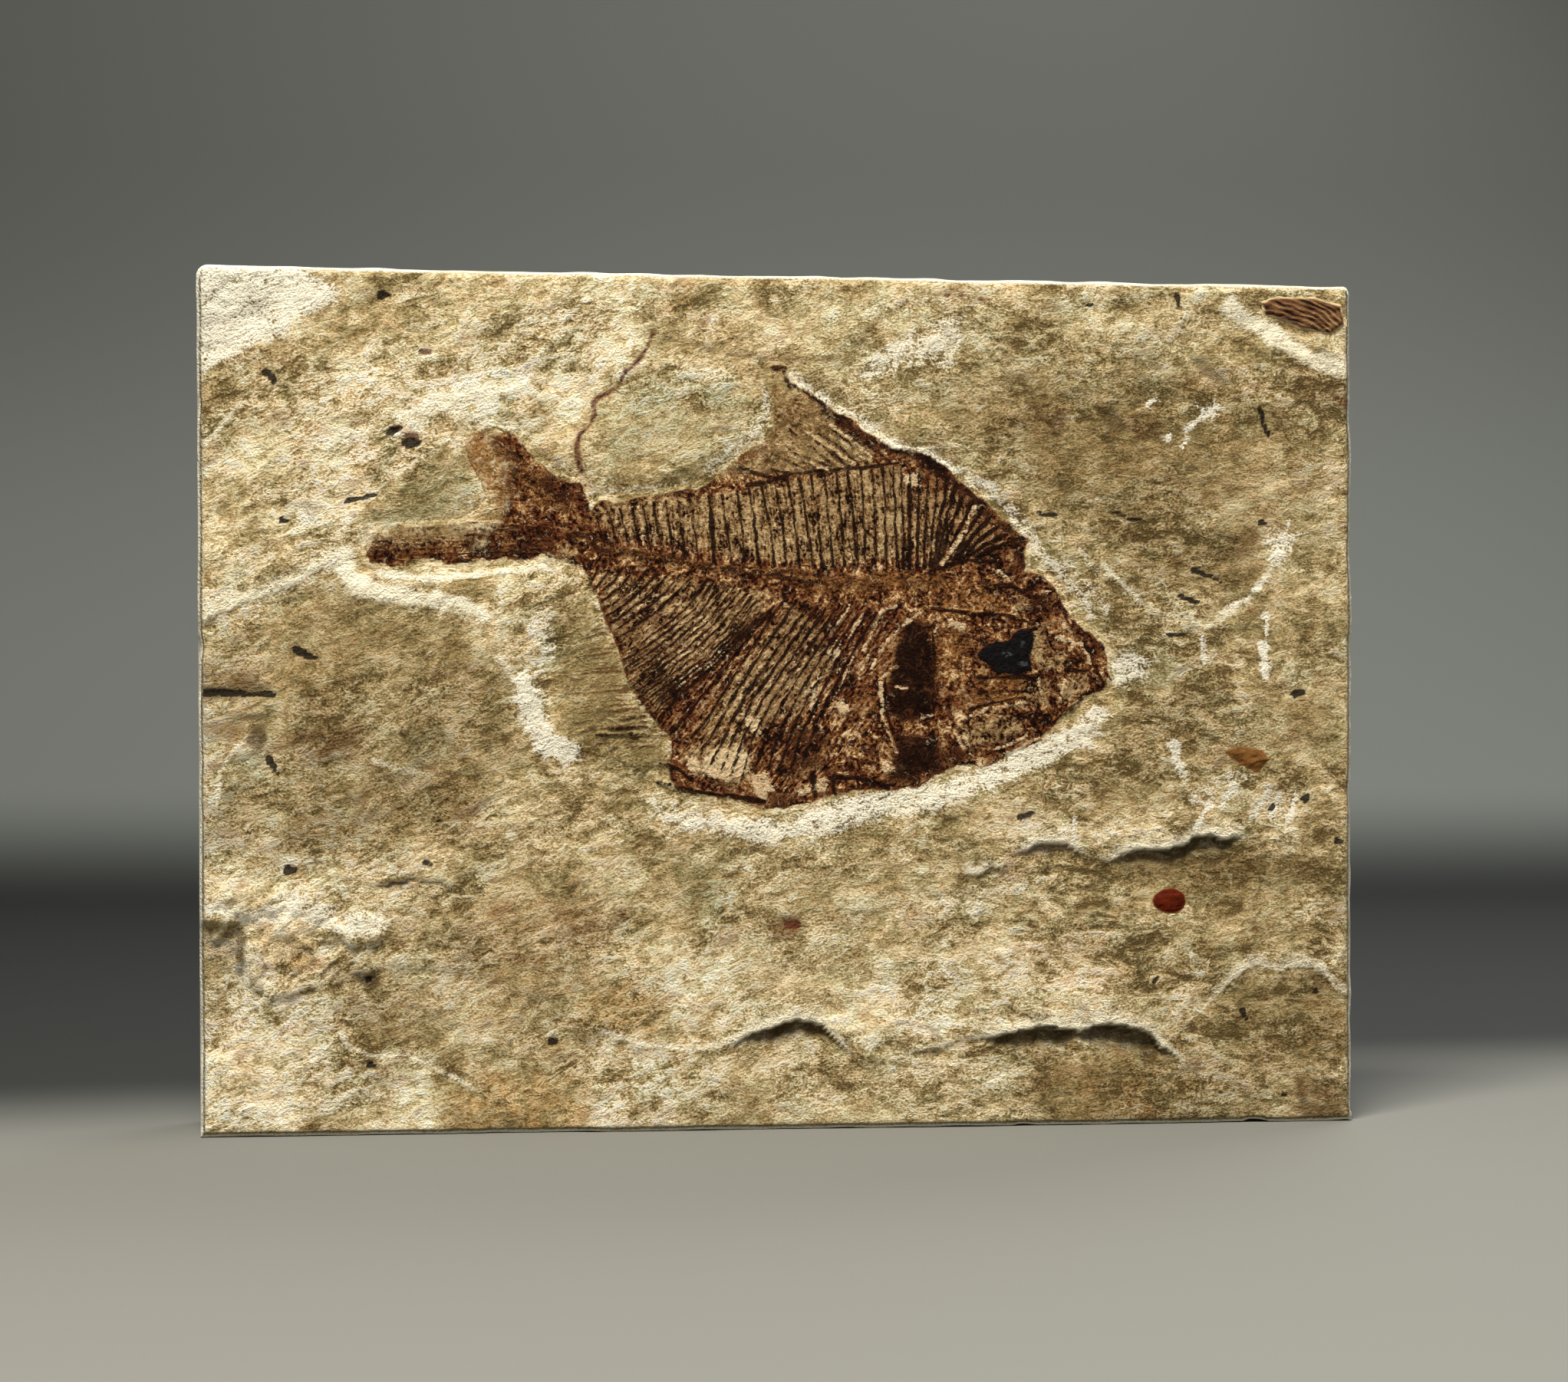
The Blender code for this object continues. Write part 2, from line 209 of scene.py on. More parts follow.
FISH_OUTLINE = (
    (34.2, 46.9), (33.8, 48.5), (33.6, 50), (30.8, 52), (29.2, 54), (28.2, 56), (26.8, 57.2), (25.1, 57.6),
    (25.3, 60), (25.4, 61.2), (24, 62), (21.3, 64.4), (18.9, 66.3), (16.1, 68.7), (14.1, 69.7), (11.3, 69.9),
    (9.3, 71.5), (6.9, 73.1), (4.2, 74.7), (0.6, 76.7), (-0.6, 78.5), (-1.8, 78.5), (-1.5, 77.5), (-1, 74),
    (-1.4, 70.7), (-3.8, 69.5), (-6.2, 67.5), (-9.3, 65.9), (-13.3, 65.2), (-16.5, 64.7), (-19.3, 64.4),
    (-20.1, 63.6), (-20.7, 65.2), (-21.3, 66.3), (-22.4, 66.3), (-24.4, 67.3), (-26.8, 69.5), (-27.6, 71.3),
    (-30.4, 71.7), (-32.4, 70.7), (-32, 68.7), (-30.8, 66.7), (-30, 64.4), (-31.2, 63.2), (-33.2, 62),
    (-36, 61.8), (-39.9, 61.6), (-41.9, 61.2), (-43.3, 59), (-43.1, 58.2), (-41.1, 57.8), (-37.2, 58.2),
    (-33.2, 58.1), (-29.2, 58.4), (-26, 58.4), (-24.8, 59), (-22.8, 58.4), (-21.3, 57.6), (-20.7, 56.6),
    (-19.6, 54.4), (-17.9, 50.7), (-17.2, 48.7), (-16.8, 47), (-15.7, 44.8), (-13.7, 42), (-12, 40),
    (-12, 38.5), (-12, 35.5), (-10.8, 34.8), (-8, 34.2), (-5, 33.8), (-2, 32.7), (0, 33), (3, 33.6),
    (5, 34.3), (8, 34.9), (11, 34.8), (13.8, 35), (15.5, 36.5), (18, 37.3), (20.5, 37), (22, 37.5),
    (24, 38.8), (27, 40.3), (28, 41.5), (30.8, 44.1), (33.6, 45.5),
)
ANAL_FIN = (
    (-20.5, 55.5), (-23, 52), (-24, 47), (-24, 43), (-23, 40), (-16, 38), (-12, 35.5), (-12, 40),
    (-15.7, 44.8), (-17.5, 50),
)
CORNER_OUTLINE = (
    (50.3, 86), (51.9, 86.6), (56.2, 86.6), (59, 85.8), (59.4, 83.8), (57.8, 82.6), (54.6, 83.2),
    (52.3, 84.2), (50.7, 84.6),
)
AMBER_OUTLINE = ((46.1, 38.8), (47.9, 39.4), (50.3, 39.0), (51.1, 38.0), (49.9, 36.5), (47.9, 37.4))
RED_CENTRE, RED_ACROSS, RED_UP = (40.4, 23.2), 1.85, 1.35


def egg(turn):
    """A point of the red scale's outline, which is an oval that is fuller at its right end."""
    up = RED_UP * math.sin(turn) * (1 + 0.12 * math.cos(turn))
    return RED_CENTRE[0] + RED_ACROSS * math.cos(turn), RED_CENTRE[1] + up


RED_OUTLINE = tuple(egg(k * math.tau / 24) for k in range(24))

# Each ledge: over what height it drops, over what length below it the step dies away, and its line. Each
# point of the line says x, z and how far the stone below steps back there.
LEDGES = (
    (3, 16, ((-61, 51.2, 0.7), (-57.8, 52.6, 0.65), (-55, 54, 0.65), (-52.7, 55, 0.7), (-49.9, 55.8, 0.75),
        (-47.9, 57.2, 0.75), (-46.3, 57.6, 0.7), (-45.6, 56, 0.7), (-44.3, 54.6, 0.7), (-41.1, 54, 0.6),
        (-37.2, 53.6, 0.5), (-34, 52.8, 0.4), (-32, 51.4, 0.3), (-28, 49, 0))),
    (0.25, 5, ((-22.8, 11.8, 0), (-19.7, 10.2, 0.1), (-17.3, 9.5, 0.15), (-15.3, 8.3, 0.15),
        (-9.7, 7.7, 0.12), (-6.2, 8, 0.2), (-4.2, 9.8, 0.7), (-1.4, 10.6, 1.5), (1.4, 11.1, 1.5),
        (3.6, 10.7, 1.3), (5, 9.2, 0.5), (6.9, 7.4, 0.25), (8.1, 6.7, 0.2), (10.9, 7.1, 0.25),
        (14.1, 7.9, 0.3), (17.7, 8.7, 0.3), (20.5, 9.1, 0.4), (22.8, 9.5, 1.3), (26, 10.1, 2.2),
        (28.4, 10.2, 2.2), (30.6, 9.8, 0.7), (32.8, 10.5, 2), (34.8, 10.6, 2.6), (36.8, 10, 2.6),
        (38.3, 9.2, 2.2), (39.4, 8, 1), (41, 6.8, 0.4), (43, 6, 0))),
    (1.8, 20, ((39, 7, 0), (40.6, 8.6, 0.25), (42.6, 10.6, 0.3), (45.1, 13, 0.35), (47.5, 15.4, 0.5),
        (49.6, 16.4, 0.5), (52, 15.9, 0.4), (55, 16.3, 0.5), (57, 15.5, 0.5), (58.4, 13.6, 0.4),
        (60.6, 13, 0.4))),
    (0.2, 2.4, ((17.8, 26.6, 0), (18.6, 26.3, 0.4), (20.1, 26, 0.5), (21, 26.6, 0.4), (22.4, 26.6, 0.4),
        (23, 25.7, 0.3), (24.2, 25.1, 0))),
    (0.25, 3.4, ((22.6, 27.2, 0), (24.4, 28.6, 0.4), (26.5, 29.1, 0.8), (29, 29.2, 0.8), (30.6, 28.6, 0.5),
        (31.8, 27.8, 0.2), (33, 27.2, 0.2), (34.6, 27.6, 0.5), (36.5, 28.3, 1.3), (40, 28.6, 1.8),
        (42, 28.8, 1.9), (43, 29.7, 2), (44.8, 29.9, 1.9), (46.5, 29.4, 1), (48.7, 30.1, 0.2),
        (52, 29.4, 0.15), (57, 27.5, 0.15), (60.6, 27.6, 0.15))),
    (0.3, 2.4, ((9, 23.6, 0), (10.5, 24.3, 0.15), (13.3, 24.7, 0.2), (16, 23.9, 0.2), (18.5, 24.3, 0.2),
        (21, 24.4, 0.15), (22.6, 24, 0))),
    (0.9, 5, ((45.6, 86.2, 0), (47.9, 84, 0.35), (51.6, 81.4, 0.4), (55.8, 79, 0.4), (60.6, 77.6, 0.35))),
    (0.2, 1.3, ((-43, 24.6, 0), (-42, 25.5, 0.5), (-40.5, 25.7, 0.9), (-38, 26, 0.6), (-36.5, 25.8, 0.5),
        (-35, 25.3, 0.5), (-33.5, 24.6, 0))),
    (0.4, 3, ((-3, 22.2, 0), (-1, 22.4, 0.2), (4, 22.9, 0.2), (8.5, 22.3, 0.2), (11, 21.7, 0))),
    (0.2, 1.3, ((41.6, 81, 0), (42.6, 80.5, 0.4), (44.4, 79.7, 0.5), (46, 78.2, 0.4), (47.6, 77.1, 0))),
    (0.2, 1.1, ((53.8, 82.2, 0), (55.2, 81.6, 0.4), (57, 81, 0.4), (58.6, 80.2, 0.2), (59.4, 79.8, 0))),
    (0.2, 1.2, ((32.4, 74.8, 0), (33.2, 74.5, 0.4), (34.6, 74.1, 0.4), (36.2, 72.4, 0.3), (37, 71.8, 0))),
)
SHARP_DROP = 0.5
UPPER_RIDGE = ((-13.7, 81.8), (-8.0, 80.2), (-1.0, 79.3), (6.2, 79.5), (8.1, 81.4), (9.7, 83.4), (12.5, 85.4))
CHIPPED_CORNER = (
    (-59, 25.1), (-50.7, 24.9), (-47.9, 23.9), (-45.9, 22.1), (-43.5, 23.1), (-40.3, 21.9), (-40.7, 20),
    (-43.5, 19.2), (-45.1, 18), (-47.9, 15.6), (-50.3, 14.4), (-53.5, 13.5), (-56, 17), (-59, 20),
)
# Shallow hollows with a definite edge: depth and outline.
RECESSES = (
    (0.7, ((-61, 21.5), (-55.3, 21), (-55.2, 16.4), (-55.8, 13.2), (-57, 8.5), (-61, 7))),
    (0.3, ((-45.9, 15), (-45.1, 9.2), (-42.7, 8), (-38.7, 7.8), (-35.6, 6.4), (-32.4, 4.9), (-30, -1),
        (-21, -1), (-19, 7), (-24, 13), (-33, 16.5), (-42, 17))),
    (0.4, ((-56, 42.5), (-52.4, 42.8), (-51.6, 37.2), (-55, 36), (-57.6, 37))),
)
# The bedding grain: how steeply it rises at the left and at the right of the slab, in degrees, between which
# places across the slab it turns from one to the other, and how far it draws the stone's noise out.
STEEP_GRAIN, GENTLE_GRAIN, GRAIN_TURN, GRAIN_STRETCH = 34, 13, (-12, 24), 2.6


def streaks(x, z, size, octaves, seed):
    """Noise drawn out along the grain."""
    steep = fractal(*with_grain(x, z, STEEP_GRAIN, GRAIN_STRETCH), size, octaves, seed)
    gentle = fractal(*with_grain(x, z, GENTLE_GRAIN, GRAIN_STRETCH), size, octaves, seed + 40)
    share = smooth(x, *GRAIN_TURN)
    return steep * (1 - share) + gentle * share


def terraces(value, steps):
    """Turns a slope into flat treads with short risers between them."""
    level = value * steps
    tread = np.floor(level)
    return (tread + smooth(level - tread, 0.8, 1.0)) / steps


def below_ledge(x, z, line):
    """How far each point lies below the ledge, and how far the stone steps back there."""
    along, heights, steps = zip(*line)
    edge = np.interp(x, along, heights) + 0.5 * fractal(x, z, size=2.2, octaves=5, seed=51, gain=0.65)
    return edge - z, np.interp(x, along, steps, 0.0, 0.0)


def ledge_depth(x, z, drop, reach, line):
    """The ledge's own relief: a share of its step below the edge, and a slight lip above it."""
    below, step = below_ledge(x, z, line)
    lip = 0.14 * step * np.exp(np.minimum(below, 0) / 1.6) * (below < 0)
    return 0.36 * step * smooth(below, -0.05, drop) * np.exp(-np.maximum(below, 0) / reach) - lip


def ledge_shades(x, z, drop, reach, line):
    """The painted shadow right under a sharp ledge, and the painted highlight on its lip. Small ones have no
    lip.
    """
    below, step = below_ledge(x, z, line)
    size = smooth(step, 0.0, 1.1) * (drop < SHARP_DROP)
    fade = np.exp(-np.maximum(below - 0.5 * step, 0) / (0.15 + 0.4 * step))
    dark = size * smooth(below, -0.1, 0.1) * fade
    light = smooth(step, 0.0, 0.6) * smooth(below, 0.15, -0.05) * np.exp(np.minimum(below, 0) / 1.3)
    return dark, light * (reach > 2)


def face_depth(x, z):
    """How far the split face lies behind the highest bed, in millimetres."""
    lie = noise(x, z, size=27, seed=1)
    flakes = terraces(streaks(x, z, size=11, octaves=5, seed=5), 7)
    small_flakes = terraces(streaks(x, z, size=2.6, octaves=3, seed=17), 3)
    crumbs = fractal(x, z, size=1.6, octaves=3, seed=23, gain=0.6)
    depth = 0.66 + 0.16 * lie + 0.52 * flakes + 0.12 * streaks(x, z, size=5, octaves=2, seed=9)
    depth += 0.16 * small_flakes + 0.12 * crumbs
    crease = smooth(np.abs(streaks(x, z, size=8, octaves=4, seed=71)), 0.05, 0.0)
    depth -= 0.13 * (crease * smooth(noise(x, z, size=9, seed=73), -0.2, 0.4))
    for deep, outline in RECESSES:
        edge = outside(x, z, outline) + 0.8 * fractal(x, z, size=2, octaves=3, seed=29)
        depth += deep * smooth(edge, 0.8, -0.8)
    for ledge in LEDGES:
        depth += ledge_depth(x, z, *ledge)
    depth -= 0.25 * smooth(z, 62, 84) * smooth(x, -20, -50)
    lumps = terraces(fractal(x, z, size=2.6, octaves=3, seed=61, gain=0.7), 4)
    fine_lumps = fractal(x, z, size=1, octaves=2, seed=63)
    depth += smooth(outside(x, z, CHIPPED_CORNER), 1, -1) * (0.85 * lumps + 0.2 * fine_lumps - 0.2)
    round_fish = smooth(outside(x, z, FISH_OUTLINE), 2.6, -0.2)
    return depth * (1 - 0.8 * round_fish) + 0.86 * round_fish


# Scraped, chalky areas: strength and outline.
CHALK = (
    (0.9, ((-60.5, 88.5), (-50.3, 88.2), (-45.5, 86.6), (-45.5, 84), (-50.3, 82.6), (-51.9, 80.7),
        (-55.8, 78.7), (-60.5, 76.7))),
    (0.66, ((50.4, 62), (52.2, 62.6), (53.4, 62.2), (54.6, 60.8), (53.4, 59.4), (52, 58.2), (51, 58.8),
        (50.8, 60.4))),
    (0.55, ((43.4, 75), (45, 75.4), (46.4, 74.6), (45.2, 73.6), (43.6, 73.4))),
    (0.62, ((6.5, 76.6), (8.5, 79.6), (11, 81.4), (15, 82.8), (19.6, 84.4), (18.4, 81), (17, 78.2),
        (12.6, 78.6), (8.6, 76.4))),
    (0.72, ((34.6, 46), (38.7, 46.2), (38.4, 48.6), (36, 49.4), (34.4, 48.6))),
    (0.78, ((-14.4, 33.6), (-10, 32.9), (-4, 32.2), (0, 32.4), (6, 33.6), (12, 34.8), (18, 36.6), (24, 38.8),
        (29, 41.2), (33, 43.8), (34.5, 42.2), (31.2, 39), (27.6, 37.2), (22, 35.2), (18, 33.2), (10, 31.4),
        (4, 29.9), (-4, 29.7), (-10, 30.9), (-15, 32.8))),
    (0.8, ((-60.5, 24.8), (-57, 23.6), (-54, 23.4), (-51.6, 24.9), (-49.4, 25.1), (-47.2, 23.8),
        (-45.4, 22.2), (-42.6, 23), (-40.6, 21.9), (-40.6, 20.2), (-43.4, 19.6), (-46.4, 20.8), (-49, 22.4),
        (-55.4, 21.6), (-60.5, 22.6))),
    (0.55, ((-27.2, 52.4), (-24.4, 53.8), (-23.6, 50), (-25.4, 46.4), (-25, 43), (-27.4, 43.8), (-27, 47),
        (-26.2, 50))),
)
# Chalky scrapes: width, strength and line.
CHALK_LINES = (
    (2.6, 1, ((-26.9, 45.8), (-26.6, 43.6), (-25.6, 41.4), (-24.4, 39.2), (-22.6, 38.7))),
    (1.3, 0.62, ((0.8, 77.5), (4.2, 74.9), (7.4, 73.3), (10.5, 71), (12.5, 70.2), (14.9, 69.9), (17.7, 67.9),
        (21.7, 66.3), (23.6, 63.6), (25.6, 61.5), (27, 59.5), (28.3, 58), (30, 56), (31, 55.3), (32, 53.2))),
    (1.2, 0.5, ((-8, 68), (-5, 70.5), (-2, 73), (-2.4, 76.5))),
    (0.5, 0.6, ((-19, 65.4), (-14, 65.9), (-10, 66.6))), (1.6, 0.5, ((19.2, 67.2), (21, 66.2), (24.6, 63.5))),
    (1, 0.45, ((29.6, 58.4), (31.6, 56), (33.6, 53.6))), (1.6, 0.5, ((43, 33.4), (45.4, 35.8), (49, 36.2))),
)
# Where the stone is smooth and light, with a painted highlight: the lips of ledges and rounded ridges. Width,
# strength and line.
LIPS_AND_HIGHLIGHTS = (
    (1.9, 0.95, ((-45.6, 59), (-45, 57), (-43.4, 55.7), (-41, 55), (-37, 54.5), (-33, 54), (-31, 52.8))),
    (0.9, 0.9, ((-41.4, 56.8), (-37, 56.4), (-32, 56.8), (-27.4, 57.4), (-25, 57.7))),
    (0.8, 0.75, ((-19, 10.3), (-16, 9.3), (-13, 8.5), (-8.5, 8.4), (-5.4, 9.3), (-3, 10.8), (1.4, 11.6),
        (4, 11))),
    (2.2, 0.75, ((47.2, 85.6), (49.2, 83.9), (52.6, 82), (56, 80.2), (59.8, 79))),
    (0.6, 0.8, ((-45.6, 10.4), (-44.8, 8.9), (-42.5, 8.1), (-38.7, 7.9), (-35.6, 6.5), (-32.2, 4.7))),
    (0.5, 0.8, ((-54.8, 20.6), (-54.9, 16.4), (-55.2, 13), (-56.5, 9.2), (-56.9, 7.4))),
    (0.8, 0.7, ((-46.8, 2.9), (-45.2, 4), (-43.8, 4.6))), (0.6, 0.6, ((-50, 5.6), (-47.6, 8), (-46.4, 9.6))),
    (1.4, 0.7, ((-39.6, 73), (-34, 75.2), (-28, 75.8), (-21.6, 74.4))),
    (1, 0.6, ((-34, 73.2), (-28, 71.8), (-23.6, 73.4))),
    (0.6, 0.8, ((33.3, 58.3), (35.4, 56.2), (38, 53.8), (39.8, 52.6))),
    (0.5, 0.6, ((30.2, 60.8), (31.6, 58.8), (33, 57.2))),
    (1.3, 0.55, ((46, 53), (49, 55), (51, 57.6), (52.2, 60.2))),
    (0.6, 0.6, ((-43.2, 64.2), (-40.5, 66.6), (-38, 68.5), (-35.6, 69.6))),
    (0.5, 0.7, ((-60, 69), (-58, 71.2), (-56.4, 73.2), (-55.2, 74.2))),
    (0.7, 0.7, ((-57.9, 33.4), (-57.7, 36.4), (-56.5, 38.8), (-54.9, 40.3))),
    (0.5, 0.6, ((-52, 28.4), (-49.6, 27.4), (-48, 28.2), (-46, 27.8), (-45, 28.2))),
    (0.7, 0.55, ((-42.6, 38.2), (-40, 37.1), (-37.2, 36.6))),
    (1, 0.6, ((-29.4, 48.4), (-27.8, 45.8), (-26.8, 44))),
    (0.45, 0.5, ((31.4, 64.6), (34, 65.4), (37.2, 65.2))),
    (0.6, 0.5, ((-20.4, 79.6), (-16, 82), (-12, 83.6))),
    (0.5, 0.6, ((-54.6, 13.4), (-51, 14.2), (-48, 15.8))), (0.6, 0.6, ((-59, 3), (-56, 2.4), (-52, 3.4))),
    (0.6, 0.6, ((-59, 6.2), (-54, 6.6), (-50.4, 5.8))),
)
# Painted shadow where a lip overhangs and the stone lies in the dark: strength and outline.
UNDERCUT_SHADOWS = (
    (0.4, ((33.6, 27.2), (38, 28.3), (42, 28.6), (43.4, 29.5), (46.2, 29.2), (46, 26.4), (43, 27), (40, 26.4),
        (36, 26.4))),
    (0.35, ((31, 9.3), (35, 9.4), (38.4, 7.8), (40.4, 6.6), (38, 6.2), (36, 7.3), (34, 7.9), (31, 8.5))),
    (0.9, ((-55.2, 39.8), (-54.2, 41.6), (-53.2, 41.6), (-53, 39.9), (-53.8, 38.9))),
    (0.8, ((-56, 20.5), (-55.1, 20.3), (-55.1, 16.3), (-55.9, 16))),
    (0.8, ((-44.2, 16.4), (-42.2, 16.2), (-41.2, 15.2), (-42.4, 14.6), (-43.6, 15.3))),
    (0.6, ((42.3, 80.7), (44, 80), (46, 78.2), (47.3, 77.1), (45.9, 76.9), (44, 78.2), (42.8, 79.6))),
    (0.6, ((32.8, 74.5), (34.6, 74.3), (36.2, 72.4), (34.8, 71.8), (33.4, 73))),
    (0.5, ((54.8, 81.8), (57, 81.1), (58.8, 80.2), (57, 80), (55.4, 80.8))),
    (0.4, ((53.6, 16.2), (56.2, 16.2), (57.4, 14.8), (57, 12.8), (56, 13.2), (55.8, 14.8))),
    (0.45, ((54.2, 2.6), (56.4, 1.6), (58.8, 2.2), (59, -0.5), (54.6, -0.5))),
    (0.35, ((-59.6, 20.4), (-56, 20.6), (-55.8, 16), (-59.6, 16.4))),
    (0.4, ((-60.5, 45.6), (-54, 45.4), (-51.4, 44.6), (-54, 44), (-60.5, 44))),
)
# The white bruises that a tool left, each a short stroke: width and the two ends.
BRUISES = (
    (0.4, (52.2, 58.6), (53.3, 63.4)), (0.4, (51.2, 61), (55.4, 61.8)), (0.6, (46.2, 53.8), (48.9, 55)),
    (0.7, (49.4, 55.6), (50.6, 56.6)), (0.5, (51.2, 58.9), (51.9, 59.7)), (0.9, (44, 74.2), (45.4, 74.9)),
    (0.7, (38.2, 75.1), (39.1, 75.6)), (0.6, (40.1, 71.6), (40.9, 73.2)), (0.8, (50.7, 53), (50.8, 51)),
    (1.1, (50.5, 50), (50.6, 46.6)), (0.7, (44, 50.8), (44.1, 48)), (1.2, (40.7, 39.4), (41.9, 36.3)),
    (0.8, (44.7, 33.5), (43.1, 30.7)), (0.9, (47.1, 35), (46, 33)), (0.8, (51.1, 35.1), (49.1, 31.5)),
    (0.8, (53.9, 34.3), (52.7, 30.3)), (0.7, (52.3, 34.9), (51.2, 31.9)), (0.6, (30.2, 32), (30.2, 29.5)),
    (0.5, (-4.3, 26.8), (-4, 26.5)), (0.6, (42, 72.4), (43.6, 73.5)), (0.5, (43.1, 75.2), (45.6, 73.9)),
    (0.4, (41.6, 70.6), (42.4, 71.5)),
)
